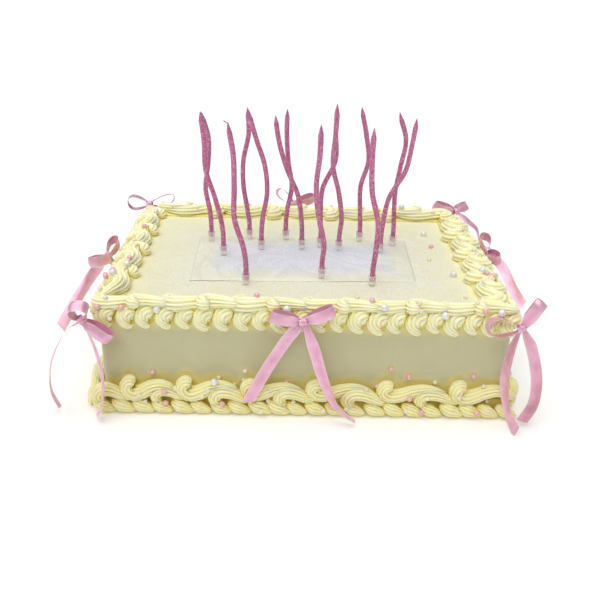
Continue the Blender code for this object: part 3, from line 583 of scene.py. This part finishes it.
def wafer():
    """Thin white wafer with fine glitter, creamier towards its edges, and painted shade along soft creases.
    """
    paint, shader = principled("wafer", Roughness=0.4)
    place = own_place(paint)
    flakes = texture(paint, "Voronoi", place, Scale=FLAKE_SCALE).outputs["Color"]
    white = ramp(paint, flakes, ((0.25, (0.68, 0.70, 0.74)), (0.75, (0.82, 0.84, 0.87))))
    cream = ramp(paint, flakes, ((0.25, (0.80, 0.78, 0.56)), (0.75, (0.86, 0.87, 0.76))))
    cloud = texture(paint, "Noise", place, Scale=60.0, Detail=3.0)
    ragged = sum_of(paint, mark(paint, "rim"), 0.9, cloud.outputs["Fac"], 0.6)
    tint = blend(paint, ramp(paint, ragged, greys((0.35, 0.0), (0.95, 1.0))), white, cream)
    # Painted shade: thin darker bands and soft blotches along creases.
    creases = texture(paint, "Noise", place, Scale=15.0, Detail=3.0, Distortion=0.9)
    shade = ramp(paint, creases.outputs["Fac"], ((0.40, (0.93, 0.94, 0.95)), (0.47, WHITE),
                                                 (0.50, (0.90, 0.91, 0.93)), (0.56, WHITE)))
    tint = blend(paint, 1.0, tint, shade, "MULTIPLY")
    return dress(paint, shader, tint, flakes, strength=0.12, depth=0.0003)


def glitter_wax():
    """Rose wax full of fine glitter."""
    paint, shader = principled("glitter_wax", Roughness=0.34, Metallic=0.10)
    flakes = texture(paint, "Voronoi", own_place(paint), Scale=WAX_FLAKE_SCALE).outputs["Color"]
    return dress(paint, shader, ramp(paint, flakes, WAX_STOPS), flakes, strength=0.5, depth=0.0003)


def clear_plastic():
    """Clear plastic with a faint pink cast."""
    return principled("clear_plastic", Base_Color=(1.00, 0.93, 0.93, 1.0), Roughness=0.45,
                      Transmission_Weight=0.35, Alpha=0.50, IOR=1.12)[0]


def pearl_sugar(name, colour):
    """Pearlescent sugar: a glossy coat over a soft body."""
    paint, shader = principled(name, Roughness=0.30, Metallic=0.10, Coat_Weight=0.8, Coat_Roughness=0.10,
                               Sheen_Weight=0.2)
    cloud = texture(paint, "Noise", own_place(paint), Scale=300.0, Detail=2.0)
    dark = [value * 0.9 for value in colour]
    return dress(paint, shader, ramp(paint, cloud.outputs["Fac"], ((0.35, dark), (0.65, colour))))


def smooth(values, t):
    """Reads the smooth curve through evenly spaced values, numbers or vectors, at t from 0 to 1."""
    last = len(values) - 1
    position = min(max(t, 0.0), 1.0) * last
    i = min(int(position), last - 1)
    f = position - i
    before, a, b, after = values[max(i - 1, 0)], values[i], values[i + 1], values[min(i + 2, last)]
    line = 2.0 * a + (b - before) * f
    return 0.5 * (line + (2.0 * before - 5.0 * a + 4.0 * b - after) * f * f
                  + (3.0 * a - before - 3.0 * b + after) * f * f * f)


def holds_corners(side):
    """Whether a side's borders run round its corners."""
    return side in ("front", "back")


def side_length(side):
    """How long the cake is along one of its sides."""
    return CAKE_WIDTH if holds_corners(side) else CAKE_DEPTH


def place(side, along, out, up):
    """World place of a point given along a side, left to right from outside, out from its face, and up."""
    face = (CAKE_DEPTH if holds_corners(side) else CAKE_WIDTH) / 2
    return Matrix.Rotation(math.pi / 2 * QUARTER_TURNS[side], 3, "Z") @ Vector((along, -face - out, up))


def spread(low, high, pitch):
    """Even places between two ends, at about a pitch."""
    count = round((high - low) / pitch)
    step = (high - low) / count
    return [low + step * (i + 0.5) for i in range(count)]


class Piping:
    """Collects piped beads as one mesh, with how deep in a groove each point lies."""

    def __init__(self):
        self.points = []
        self.faces = []
        self.grooves = []

    def add(self, points, faces, grooves):
        """Adds a part."""
        start = len(self.points)
        self.points += [tuple(p) for p in points]
        self.faces += [[start + i for i in face] for face in faces]
        self.grooves += list(grooves)

    def bead(self, path, radii, facing, ridges, wind, rings, widen=1.0):
        """A ridged bead squeezed along a path: round at its head, pointed at its tail, widened sideways."""
        length = sum((b - a).length for a, b in zip(path, path[1:]))
        around = ridges * RIDGE_SAMPLES
        head = min(HEAD_LONGEST, radii[0] / length)
        tail = min(TAIL_LONGEST, TAIL_LENGTH * radii[-1] / length)
        points, grooves = [smooth(path, 0.0)], [0.0]
        for ring in range(1, rings):
            t = 0.5 - 0.5 * math.cos(math.pi * ring / rings)
            centre = smooth(path, t)
            tangent = (smooth(path, t + SLOPE_STEP) - smooth(path, t - SLOPE_STEP)).normalized()
            normal = (facing - tangent * facing.dot(tangent)).normalized()
            across = tangent.cross(normal)
            cap = math.sqrt(1.0 - (1.0 - t / head) ** 2) if t < head else 1.0
            if t > 1.0 - tail:
                cap *= ((1.0 - t) / tail) ** TAIL_TAPER
            radius = smooth(radii, t) * cap
            for i in range(around):
                turn = 2 * math.pi * i / around
                crest = abs(math.sin(ridges * (turn + wind * t) / 2)) ** GROOVE_POWER
                reach = radius * (1.0 - GROOVE_DEPTH * (1.0 - crest))
                points.append(centre + (normal * math.cos(turn) + across * math.sin(turn) * widen) * reach)
                grooves.append(1.0 - crest)
        points.append(smooth(path, 1.0))
        grooves.append(0.0)
        faces = []
        for i in range(around):
            j = (i + 1) % around
            faces.append((0, 1 + i, 1 + j))
            for ring in range(rings - 2):
                a = 1 + ring * around
                faces.append((a + i, a + around + i, a + around + j, a + j))
            a = 1 + (rings - 2) * around
            faces.append((a + i, len(points) - 1, a + j))
        self.add(points, faces, grooves)

    def box(self, low, high):
        """A plain core that fills what lies behind the beads, marked as deep in a groove so that it is
        painted in shade.
        """
        across, back, up = zip(low, high)
        corners = [(x, y, z) for x in across for y in back for z in up]
        faces = ((0, 1, 3, 2), (4, 6, 7, 5), (0, 4, 5, 1), (2, 3, 7, 6), (0, 2, 6, 4), (1, 5, 7, 3))
        self.add(corners, faces, [1.0] * 8)

    def mesh(self, name):
        """The mesh, flattened where it meets the ground."""
        level = [(x, y, max(z, GAP)) for x, y, z in self.points]
        made = plain_mesh(name, level, self.faces, {"groove": self.grooves})
        shape = bmesh.new()
        shape.from_mesh(made)
        bmesh.ops.recalc_face_normals(shape, faces=shape.faces)
        shape.to_mesh(made)
        shape.free()
        return made


def plain_mesh(name, points, faces, marks=None):
    """A smooth mesh from lists, with named values at its points."""
    made = bpy.data.meshes.new(name)
    made.from_pydata([tuple(point) for point in points], [], faces)
    for key, values in (marks or {}).items():
        made.attributes.new(key, "FLOAT", "POINT").data.foreach_set("value", values)
    made.shade_smooth()
    return made


class Pearls:
    """Collects the sugar pearls by kind."""

    def __init__(self):
        self.laid = {kind: [] for kind in PEARL_RADII}

    def lay(self, kind, spot, outward, only_if_clear):
        """Sinks a pearl partly into a surface, unless it has to be clear of the others and isn't."""
        radius = PEARL_RADII[kind]
        centre = spot + outward * radius * (1 - PEARL_SINK)
        if only_if_clear:
            for other, centres in self.laid.items():
                if any((centre - place).length < radius + PEARL_RADII[other] for place in centres):
                    return
        self.laid[kind].append(centre)

    def cast(self, tree, kind, start, direction, only_if_clear):
        """Lays a pearl where a ray first meets a surface."""
        hit, normal, _, _ = tree.ray_cast(start, direction)
        if hit:
            self.lay(kind, hit, normal if normal.dot(direction) < 0 else -normal, only_if_clear)

    def sight(self, borders):
        """Lays the front's pearls where they are seen from the photograph's place."""
        whole = Piping()
        for border in borders:
            whole.add(border.points, border.faces, border.grooves)
        low = (-CAKE_WIDTH / 2, -CAKE_DEPTH / 2, 0.0)
        whole.box(low, (CAKE_WIDTH / 2, CAKE_DEPTH / 2, CAKE_HEIGHT))
        tree = BVHTree.FromPolygons(whole.points, whole.faces)
        eye = Vector(CAMERA_PLACE)
        for kind, x, z in FRONT_PEARLS:
            aim = (mm(x, SIGHT_PLANE, z) - eye).normalized()
            self.cast(tree, kind, eye, aim, True)

    def drop(self, piping, aims, direction, kinds, only_if_clear):
        """Lays pearls where rays along a direction first meet the piping."""
        tree = BVHTree.FromPolygons(piping.points, piping.faces)
        for aim, kind in zip(aims, kinds):
            self.cast(tree, kind, aim, direction, only_if_clear)

    def piece(self, kind):
        """All pearls of one kind as one piece."""
        shape = bmesh.new()
        bmesh.ops.create_icosphere(shape, subdivisions=PEARL_ROUNDS, radius=PEARL_RADII[kind])
        ball = np.array([vertex.co[:] for vertex in shape.verts])
        sides = np.array([[vertex.index for vertex in face.verts] for face in shape.faces])
        shape.free()
        points = np.concatenate([ball + np.array(centre) for centre in self.laid[kind]])
        faces = np.concatenate([sides + len(ball) * i for i in range(len(self.laid[kind]))])
        mesh = plain_mesh("pearls_" + kind, points, faces.tolist())
        paint = pearl_sugar("sugar_pearl_" + kind, PEARL_COLOURS[kind])
        return piece("pearls_" + kind, mesh, paint)


def piece(name, mesh, paint, replaced=()):
    """Adds a finished piece that rides on the cake and may stand for solids."""
    made = put(name, mesh)
    mesh.materials.append(paint)
    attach(made, "root")
    if replaced:
        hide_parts(*replaced)
    return made


def side_box(side, low, high):
    """Corners, in world axes, of a box given along a side."""
    a, b = place(side, *low), place(side, *high)
    return [min(p, q) for p, q in zip(a, b)], [max(p, q) for p, q in zip(a, b)]


def shell_bead(piping, side, along, shell, size, floor):
    """One shell: a short bead that starts fat and ends in a point."""
    path = [place(side, along + s * size, out, floor + up * size) for s, out, up, _ in shell]
    facing = place(side, 0, 1, 1) - place(side, 0, 0, 0)
    radii = [radius * size for *_, radius in shell]
    widen = TOP_SHELL_WIDEN if shell is TOP_SHELL else 1.0
    piping.bead(path, radii, facing, SHELL_RIDGES, SHELL_WIND, SHELL_RINGS, widen)


def shell_row(piping, side, low, high, shell, pitch, floor, chance):
    """Shells along a side, each a little different."""
    for along in spread(low, high, pitch):
        size = chance.uniform(1 - SIZE_SPREAD, 1 + SIZE_SPREAD)
        lean = chance.uniform(-SHELL_LEAN, SHELL_LEAN)
        shell_bead(piping, side, along + lean, shell, size, floor)


def heads_along(low, high, pitch):
    """Where the pairs of scrolls start along a side, and where the last one ends."""
    count = round((high - low) / pitch)
    step = (high - low) / count
    return [low + SCROLL_LEAD + step * i for i in range(count + 1)]


def scroll_band(piping, heads, limit, spot, facing, fat, chance):
    """A band of scrolls along a side: one dips and the next crests. One past a corner is left out."""
    for start, after in zip(heads, heads[1:]):
        for scroll, lift in ((TROUGH_SCROLL, 0.0), (CREST_SCROLL, CREST_LIFT)):
            size = chance.uniform(1 - SIZE_SPREAD, 1 + SIZE_SPREAD)
            lift += chance.uniform(-SCROLL_LIFT, SCROLL_LIFT)
            stretch = (after - start) / PAIR_PITCH
            path = [spot(start + s * stretch, across * size, lift) for s, across, _ in scroll]
            radii = [radius * size * fat for *_, radius in scroll]
            if -limit < start + scroll[0][0] and start + scroll[-1][0] * stretch < limit + BASE_REACH / 2:
                piping.bead(path, radii, facing, SCROLL_RIDGES, SCROLL_WIND, SCROLL_RINGS)


def base_border(side, paint, pearls):
    """The border at the cake's foot, and its pearls."""
    chance = random.Random(BASE_SEED + QUARTER_TURNS[side])
    corner = holds_corners(side)
    half = side_length(side) / 2
    reach = half + BASE_CORE_THICK
    piping = Piping()
    row = half + BASE_ROW_SPARE if corner else half
    shell_row(piping, side, -row, row, BASE_SHELL, BASE_SHELL_PITCH, 0.0, chance)

    def on_wall(along, across, lift):
        return place(side, along, BASE_BAND_OUT + lift, BASE_BAND_HEIGHT + across)

    outward = place(side, 0, 1, 0) - place(side, 0, 0, 0)
    heads = FRONT_HEADS if side == "front" else heads_along(-half, half, PAIR_PITCH)
    scroll_band(piping, heads, half, on_wall, outward, 1.0, chance)

    def before(along, up):
        return place(side, along, AIM_DISTANCE, up)

    ends = (PEARL_MARGIN - half, half - PEARL_MARGIN)
    aims = []
    for along in spread(*ends, 2 * half / BASE_PEARLS[side]):
        stray = chance.uniform(-PEARL_STRAY, PEARL_STRAY)
        aims.append(before(along + stray, chance.uniform(*BASE_PEARL_HEIGHTS)))
    pearls.drop(piping, aims, -outward, [chance.choice(PEARL_KINDS) for _ in aims], False)
    more = random.Random(MORE_SEED + QUARTER_TURNS[side])
    aims = []
    for _ in range(MORE_BASE_PEARLS[side]):
        aims.append(before(more.uniform(*ends), more.uniform(*MORE_BASE_HEIGHTS)))
    pearls.drop(piping, aims, -outward, [more.choice(PEARL_KINDS) for _ in aims], True)
    piping.box(*side_box(side, (-reach, 0.0, GAP), (reach, BASE_CORE_THICK, BASE_CORE_HEIGHT)))
    name = "base_border_" + side
    piece("piped_" + name, piping.mesh(name), paint, (name,))
    return piping


def top_span(side):
    """Where a top border starts and stops along its side. The left and right ones fit between."""
    half = side_length(side) / 2
    front = half - TOP_RING["front"] - GAP
    back = half - TOP_RING["back"] - GAP
    return (-front, back) if side == "right" else (-back, front)


def top_border(side, paint, pearls):
    """The border round the top: shells that hang over the edge, a band of scrolls inside them, pearls."""
    chance = random.Random(TOP_SEED + QUARTER_TURNS[side])
    corner = holds_corners(side)
    half = side_length(side) / 2
    top = CAKE_HEIGHT
    ring = TOP_RING[side]
    inset, squeeze, fat = TOP_BANDS[side]
    piping = Piping()
    if corner:
        ends = (-half - TOP_CORE_THICK, half + TOP_CORE_THICK)
        row = (-half - TOP_ROW_SPARE, half + TOP_ROW_SPARE)
        band = (inset - half, half - inset)
    else:
        low, high = top_span(side)
        ends = row = band = (low - SPARE, high + SPARE)
    shell_row(piping, side, *row, TOP_SHELL, TOP_SHELL_PITCH, top, chance)
    if corner:
        for other in ("left", "right"):
            sign = -1 if (side == "front") == (other == "right") else 1
            start = sign * CAKE_DEPTH / 2
            for part in CORNER_SHELLS[side]:
                shell_bead(piping, other, start - sign * ring * part, TOP_SHELL, CORNER_SIZE, top)

    def on_top(along, across, lift):
        return place(side, along, -inset - across * squeeze, top + TOP_BAND_RISE + lift)

    scroll_band(piping, heads_along(*band, TOP_PAIR_PITCH), half, on_top, Vector((0, 0, 1)), fat, chance)
    down = Vector((0, 0, -1))
    aims = []
    pitch = (ends[1] - ends[0]) / TOP_PEARLS[side]
    for along in spread(ends[0] + PEARL_MARGIN, ends[1] - PEARL_MARGIN, pitch):
        stray = chance.uniform(-PEARL_STRAY, PEARL_STRAY)
        aims.append(place(side, along + stray, chance.uniform(-TOP_PEARL_INSET, 0.0), top + AIM_DISTANCE))
    pearls.drop(piping, aims, down, [chance.choice(PEARL_KINDS) for _ in aims], False)
    more = random.Random(2 * MORE_SEED + QUARTER_TURNS[side])
    aims = []
    for _ in range(MORE_TOP_PEARLS[side]):
        along = more.uniform(*ends)
        aims.append(place(side, along, more.uniform(-ring, TOP_CORE_INSET), top + AIM_DISTANCE))
    pearls.drop(piping, aims, down, [more.choice(PEARL_KINDS) for _ in aims], True)
    piping.box(*side_box(side, (ends[0], TOP_CORE_INSET - ring, top - SPARE),
                         (ends[1], TOP_CORE_THICK, top + TOP_CORE_RISE)))
    piping.box(*side_box(side, (ends[0], -SPARE, top - TOP_CORE_DROP),
                         (ends[1], TOP_CORE_THICK / 2, top + TOP_CORE_RISE - GAP)))
    name = "top_border_" + side
    piece("piped_" + name, piping.mesh(name), paint, (name,))
    return piping


def ticks(low, high):
    """Places along the block: close together over its rounded edges, even between them."""
    cells = round((high - low - 2 * EDGE_RADIUS) / SKIN_CELL)
    inner = np.linspace(low + EDGE_RADIUS, high - EDGE_RADIUS, cells + 1)
    edge = np.linspace(0.0, EDGE_RADIUS, EDGE_CELLS + 1)[1:]
    return np.concatenate((low + EDGE_RADIUS - edge[::-1], inner, high - EDGE_RADIUS + edge))


def glitter_and_wall_shade_at(spot):
    """How much glitter lies on the block at a place: most of it round the sheet, none on the walls. The same
    value keeps the painted wall shade off the top.
    """
    if spot.z < CAKE_HEIGHT - EDGE_RADIUS:
        return 0.0
    low, high = SHEET_CORNERS[0], SHEET_CORNERS[2]
    across = max(low[0] - spot.x, 0.0, spot.x - high[0])
    away = math.hypot(across, max(low[1] - spot.y, 0.0, spot.y - high[1]))
    return DUST_LEAST + (DUST_MOST - DUST_LEAST) * max(0.0, 1.0 - away / DUST_REACH)


def cake_skin(paint):
    """The block's smooth frosting: soft edges and faint trowel marks."""
    low = Vector((-CAKE_WIDTH / 2, -CAKE_DEPTH / 2, 0.0))
    high = Vector((CAKE_WIDTH / 2, CAKE_DEPTH / 2, CAKE_HEIGHT))
    lines = [ticks(a, b) for a, b in zip(low, high)]
    found, points, faces = {}, [], []

    def corner(key):
        if key not in found:
            found[key] = len(points)
            spot = Vector([line[i] for line, i in zip(lines, key)])
            ends = zip(spot, low, high)
            inner = Vector([min(max(c, a + EDGE_RADIUS), b - EDGE_RADIUS) for c, a, b in ends])
            marks = noise.noise(Vector([c * scale for c, scale in zip(spot, TROWEL_SCALE)]))
            out = EDGE_RADIUS - TROWEL_DEPTH * (0.5 + 0.5 * marks)
            points.append(inner + (spot - inner).normalized() * out)
        return found[key]

    for axis in range(3):
        first, second = [i for i in range(3) if i != axis]
        for level in (0, len(lines[axis]) - 1):
            for i in range(len(lines[first]) - 1):
                for j in range(len(lines[second]) - 1):
                    ring = []
                    for a, b in ((i, j), (i + 1, j), (i + 1, j + 1), (i, j + 1)):
                        key = [0, 0, 0]
                        key[axis], key[first], key[second] = level, a, b
                        ring.append(corner(tuple(key)))
                    faces.append(ring if (level == 0) == (axis == 1) else ring[::-1])
    marks = {"groove": [0.0] * len(points), "dust_and_wall_shade": [glitter_and_wall_shade_at(point) for point in points]}
    return piece("frosting", plain_mesh("frosting", points, faces, marks), paint, ("cake",))


def grid_faces(rows, columns, start=0, flip=False):
    """The faces of a grid of points laid out row by row."""
    faces = []
    for i in range(rows):
        for j in range(columns):
            a = start + i * (columns + 1) + j
            ring = [a, a + 1, a + columns + 2, a + columns + 1]
            faces.append(ring[::-1] if flip else ring)
    return faces


def sheet_height(x, y):
    """How far the wafer sheet's underside lies above the cake's top."""
    across = math.sin(WAVES_ACROSS[0] * x + WAVES_ACROSS[1])
    back = math.cos(WAVES_BACK[0] * y + WAVES_BACK[1])
    return GAP + SHEET_WAVE * (1 + across * back) / 2


def wafer_sheet(paint):
    """The thin sheet on top, its front edge a little lifted."""
    corners = [Vector(corner) for corner in SHEET_CORNERS]
    under, thick, rims = [], [], []
    for i in range(SHEET_ROWS + 1):
        for j in range(SHEET_COLUMNS + 1):
            u, v = j / SHEET_COLUMNS, i / SHEET_ROWS
            spot = corners[0].lerp(corners[1], u).lerp(corners[3].lerp(corners[2], u), v)
            edge = min(u, 1 - u) * (corners[1] - corners[0]).length
            edge = min(edge, min(v, 1 - v) * (corners[3] - corners[0]).length)
            rims.append(max(0.0, 1.0 - edge / SHEET_RIM))
            curl = max(0.0, math.sin(SHEET_CURLS * u + SHEET_CURL_START))
            curl = max(0.0, 1.0 - v / SHEET_LIFT_REACH) ** 2 * curl
            settled = max(0.0, 1.0 - edge / SHEET_SETTLE) ** 2 * (1.0 - SHEET_CURL_HOLD * curl)
            settled *= SHEET_SETTLING
            height = sheet_height(spot.x, spot.y) * (1 - settled) + SHEET_LIFT * curl
            under.append(Vector((spot.x, spot.y, CAKE_HEIGHT + height)))
            thick.append(SHEET_THICK * (1 - settled))
    count = len(under)
    points = under + [point + Vector((0, 0, depth)) for point, depth in zip(under, thick)]
    faces = grid_faces(SHEET_ROWS, SHEET_COLUMNS, 0, True) + grid_faces(SHEET_ROWS, SHEET_COLUMNS, count)
    row = SHEET_COLUMNS + 1
    ring = list(range(row)) + [row * i + SHEET_COLUMNS for i in range(1, SHEET_ROWS + 1)]
    ring += [row * SHEET_ROWS + j for j in range(SHEET_COLUMNS - 1, -1, -1)]
    ring += [row * i for i in range(SHEET_ROWS - 1, 0, -1)]
    for a, b in zip(ring, ring[1:] + ring[:1]):
        faces.append([a, b, b + count, a + count])
    mesh = plain_mesh("wafer_sheet", points, faces, {"rim": rims + rims})
    return piece("wafer", mesh, paint, ("wafer_sheet",))


def ring_faces(rows, sides):
    """The faces of a skin over rings of points."""
    faces = []
    for i in range(rows):
        for k in range(sides):
            n = (k + 1) % sides
            faces.append([i * sides + k, i * sides + n, (i + 1) * sides + n, (i + 1) * sides + k])
    return faces


def tube(centres, radii, sides):
    """Points and faces of a tube through centres, closed at both ends."""
    points, faces = [], []
    last = len(centres) - 1
    for i, (centre, radius) in enumerate(zip(centres, radii)):
        tangent = (centres[min(i + 1, last)] - centres[max(i - 1, 0)]).normalized()
        across = Vector((1, 0, 0)) - tangent * tangent.x
        across.normalize()
        other = tangent.cross(across)
        for k in range(sides):
            turn = 2 * math.pi * k / sides
            points.append(centre + (across * math.cos(turn) + other * math.sin(turn)) * radius)
    faces += ring_faces(last, sides)
    faces.append(list(range(sides))[::-1])
    faces.append([last * sides + k for k in range(sides)])
    return points, faces


def cup_base(x, y):
    """The height at which a candle's cup stands, on the sheet where that lies under it."""
    low, high = SHEET_CORNERS[0], SHEET_CORNERS[2]
    on_sheet = low[0] < x < high[0] and low[1] < y < high[1]
    under = sheet_height(x, y) + SHEET_THICK + SHEET_WAVE / 2 if on_sheet else 0.0
    return CAKE_HEIGHT + under + GAP


def candle_cup(name, x, y, paint):
    """A tapered cup with a socket for the candle's foot, turned from a profile."""
    socket = CUP_HEIGHT - CANDLE_SEAT
    middle = (CUP_TOP_RADIUS + CUP_BORE_RADIUS) / 2
    profile = ((CUP_MIDDLE, socket), (CUP_BORE_RADIUS, socket),
               (CUP_BORE_RADIUS, CUP_HEIGHT - CUP_LIP), (middle, CUP_HEIGHT),
               (CUP_TOP_RADIUS, CUP_HEIGHT - CUP_LIP),
               (CUP_FOOT_RADIUS + CUP_LIP, CUP_HEIGHT / 3), (CUP_FOOT_RADIUS, CUP_LIP),
               (CUP_FOOT_RADIUS - CUP_LIP, 0.0), (CUP_MIDDLE, 0.0))
    points = []
    for radius, height in profile:
        for k in range(CUP_SIDES):
            turn = 2 * math.pi * k / CUP_SIDES
            across, back = radius * math.cos(turn), radius * math.sin(turn)
            points.append((x + across, y + back, cup_base(x, y) + height))
    faces = [ring[::-1] for ring in ring_faces(len(profile) - 1, CUP_SIDES)]
    return piece("clear_" + name, plain_mesh(name, points, faces), paint, (name,))


def candle(name, x, y, height, swings, bend, paint):
    """A wavy candle, straight at its foot and drawn out to a long point."""
    foot = cup_base(x, y) + CUP_HEIGHT - CANDLE_SEAT + GAP
    top = CAKE_HEIGHT + height
    swing = (0.0, *swings)
    steps = [CANDLE_TIP * i / CANDLE_ROWS for i in range(CANDLE_ROWS)]
    steps += [CANDLE_TIP + (1 - CANDLE_TIP) * i / CANDLE_TIP_ROWS for i in range(CANDLE_TIP_ROWS + 1)]
    centres, radii = [], []
    for t in steps:
        ease = min(max((t - CANDLE_EASE[0]) / (CANDLE_EASE[1] - CANDLE_EASE[0]), 0.0), 1.0)
        ease *= ease * (3 - 2 * ease)
        across = x + smooth(swing, t) * ease
        spot = Vector((across, y + bend * math.sin(math.pi * t) * ease, foot + (top - foot) * t))
        lumps = 1.0 + CANDLE_LUMPS * noise.noise(spot * CANDLE_LUMP_SCALE) if t > CANDLE_EASE[0] else 1.0
        taper = ((1 - t) / (1 - CANDLE_TIP)) ** CANDLE_TIP_TAPER if t > CANDLE_TIP else 1.0
        centres.append(spot)
        radii.append(max(CANDLE_RADIUS * taper * lumps, CANDLE_POINT))
    points, faces = tube(centres, radii, CANDLE_SIDES)
    if name == BENT_WICK:
        bend_over = [centres[-1] + Vector((out, 0, rise)) for out, rise in WICK_REACH]
        more, rings = tube(bend_over, [WICK_RADIUS] * len(bend_over), CANDLE_SIDES)
        faces += [[i + len(points) for i in ring] for ring in rings]
        points += more
    return piece("wax_" + name, plain_mesh(name, points, faces), paint, (name,))


def loop_path(knot, reach, opening):
    """A teardrop from the knot out to the end of its reach and back. Its ends cross a little at the knot."""
    path = []
    for i in range(LOOP_STEPS + 1):
        turn = 2 * math.pi * i / LOOP_STEPS
        far = (1 - math.cos(turn)) / 2
        wide = math.sin(turn) * (LOOP_WIDTH[0] + LOOP_WIDTH[1] * far)
        cross = LOOP_CROSSING * (1 - 2 * i / LOOP_STEPS)
        path.append(knot + reach * (LOOP_START[0] + LOOP_START[1] * far) + opening * (wide + cross))
    return path


class Bow:
    """Lays a bow's ribbon out as one cloth, and keeps count of its length."""

    def __init__(self):
        self.points = []
        self.faces = []
        self.lay = []
        self.length = 0.0

    def strip(self, path, widths, least, cut=0.0):
        """A ribbon in pleats where it is gathered to its least width: at its start, and at an uncut end."""
        rows = [smooth(path, i / RIBBON_ROWS) for i in range(RIBBON_ROWS + 1)]
        length = sum((b - a).length for a, b in zip(rows, rows[1:]))
        self.faces += grid_faces(RIBBON_ROWS, RIBBON_COLUMNS, len(self.points))
        for i in range(RIBBON_ROWS + 1):
            for j in range(RIBBON_COLUMNS + 1):
                v = 2 * j / RIBBON_COLUMNS - 1
                t = i / RIBBON_ROWS * (1 - cut / length * (v + 1) / 2)
                ahead, behind = smooth(path, t + RIBBON_SLOPE_STEP), smooth(path, t - RIBBON_SLOPE_STEP)
                tangent = (ahead - behind).normalized()
                width = smooth(widths, t)
                width = (width - tangent * width.dot(tangent)).normalized()
                reach = t if cut else min(t, 1 - t)
                pinch = least + (1 - least) * min(1.0, reach / PINCH_REACH)
                gathered = 1 - pinch
                pleat = math.cos(PLEATS * math.pi * v + PLEAT_SHIFT)
                sway = RIBBON_SWAY * math.sin(SWAY_ALONG * t + SWAY_ACROSS * v)
                lift = PLEAT_DEPTH * gathered / (1 - LOOP_PINCH) * pleat
                lift += RIBBON_CUPPING * (v * v - CUPPING_LEVEL) * (1 - gathered)
                lift += sway * (1 - gathered) * min(1.0, SWAY_END * (1 - t))
                half = RIBBON_WIDTH / 2 * pinch
                self.points.append(smooth(path, t) + width * half * v + tangent.cross(width) * lift)
                self.lay.append((self.length / RIBBON_WIDTH + t * length / RIBBON_WIDTH, (v + 1) / 2))
        self.length += length

    def knot(self, centre, along):
        """The short wrap that holds the gathers: a barrel with a few pleats round it."""
        along = along.normalized()
        up = Vector((0, 0, 1)) - along * along.z
        up.normalize()
        out = along.cross(up)
        self.faces += grid_faces(KNOT_ROWS, RIBBON_COLUMNS, len(self.points))
        length = 2 * math.pi * KNOT_WRAP_RADIUS
        for i in range(KNOT_ROWS + 1):
            turn = 2 * math.pi * i / KNOT_ROWS
            for j in range(RIBBON_COLUMNS + 1):
                v = 2 * j / RIBBON_COLUMNS - 1
                radius = KNOT_WRAP_RADIUS * (1 - KNOT_BARREL * v * v)
                radius += KNOT_PLEAT_DEPTH * math.cos(KNOT_PLEATS * math.pi * v + math.sin(turn))
                spoke = up * math.cos(turn) + out * math.sin(turn)
                self.points.append(centre + along * KNOT_HALF * v + spoke * radius)
                along_it = self.length / RIBBON_WIDTH + turn * KNOT_WRAP_RADIUS / RIBBON_WIDTH
                self.lay.append((along_it, (v + 1) / 2))
        self.length += length

    def mesh(self, name):
        """The cloth as a mesh, with its lay as a map."""
        made = plain_mesh(name, self.points, self.faces)
        lay = made.uv_layers.new(name="ribbon")
        for corner, vertex in zip(lay.data, [i for face in self.faces for i in face]):
            corner.uv = self.lay[vertex]
        return made


def bow(name, knot, loops, tails, paint):
    """A tied bow: two loops, two tails and the knot that holds them."""
    cloth = Bow()
    for reach, opening in loops:
        reach, opening = mm(*reach), mm(*opening)
        width = reach.cross(opening).normalized()
        cloth.strip(loop_path(mm(*knot), reach, opening), [width, width], LOOP_PINCH)
    for route, start, end in tails:
        cloth.strip([mm(*point) for point in route], [Vector(start), Vector(end)], TAIL_PINCH, RIBBON_CUT)
    cloth.knot(mm(*knot), mm(*loops[1][0]) - mm(*loops[0][0]))
    made = piece("satin_" + name, cloth.mesh(name), paint, (name,))
    return made


def main():
    """Builds the looks."""
    camera()
    studio()
    pearls = Pearls()
    front, up = Vector((0, -1, 0)), Vector((0, 0, 1))
    for kind, x, z in WALL_PEARLS:
        pearls.lay(kind, Vector((x, -CAKE_DEPTH / 2, z)), front, False)
    for kind, x, y in FLAT_PEARLS:
        pearls.lay(kind, Vector((x, y, CAKE_HEIGHT)), up, False)
    piped = buttercream("buttercream", PIPED_STOPS, groove_shade_share=0.55, crevice_shade_share=0.9)
    # Painted shade: the border at the foot is a darker copy of the piping, with more painted shade in its
    # grooves and crevices.
    foot = buttercream("shaded_foot_buttercream", SHADED_FOOT_STOPS, groove_shade_share=0.65, crevice_shade_share=1.0)
    borders = []
    for side in QUARTER_TURNS:
        borders.append(base_border(side, foot, pearls))
        borders.append(top_border(side, piped, pearls))
    pearls.sight(borders)
    for kind in PEARL_RADII:
        pearls.piece(kind)
    cake_skin(buttercream("smooth_buttercream", FLAT_STOPS, groove_shade_share=0.0, crevice_shade_share=1.2, dusty_and_wall_shaded=True))
    wafer_sheet(wafer())
    wax = glitter_wax()
    clear = clear_plastic()
    for letter, (x, y, height, swings, bend) in CANDLES.items():
        x, y, height, bend = metres(x, y, height, bend)
        candle_cup("candle_cup_" + letter, x, y, clear)
        candle("candle_" + letter, x, y, height, metres(*swings), bend, wax)
    ribbon = satin()
    for spot, (knot, loops, *tails) in BOWS.items():
        bow("bow_" + spot, knot, loops, tails, ribbon)


main()
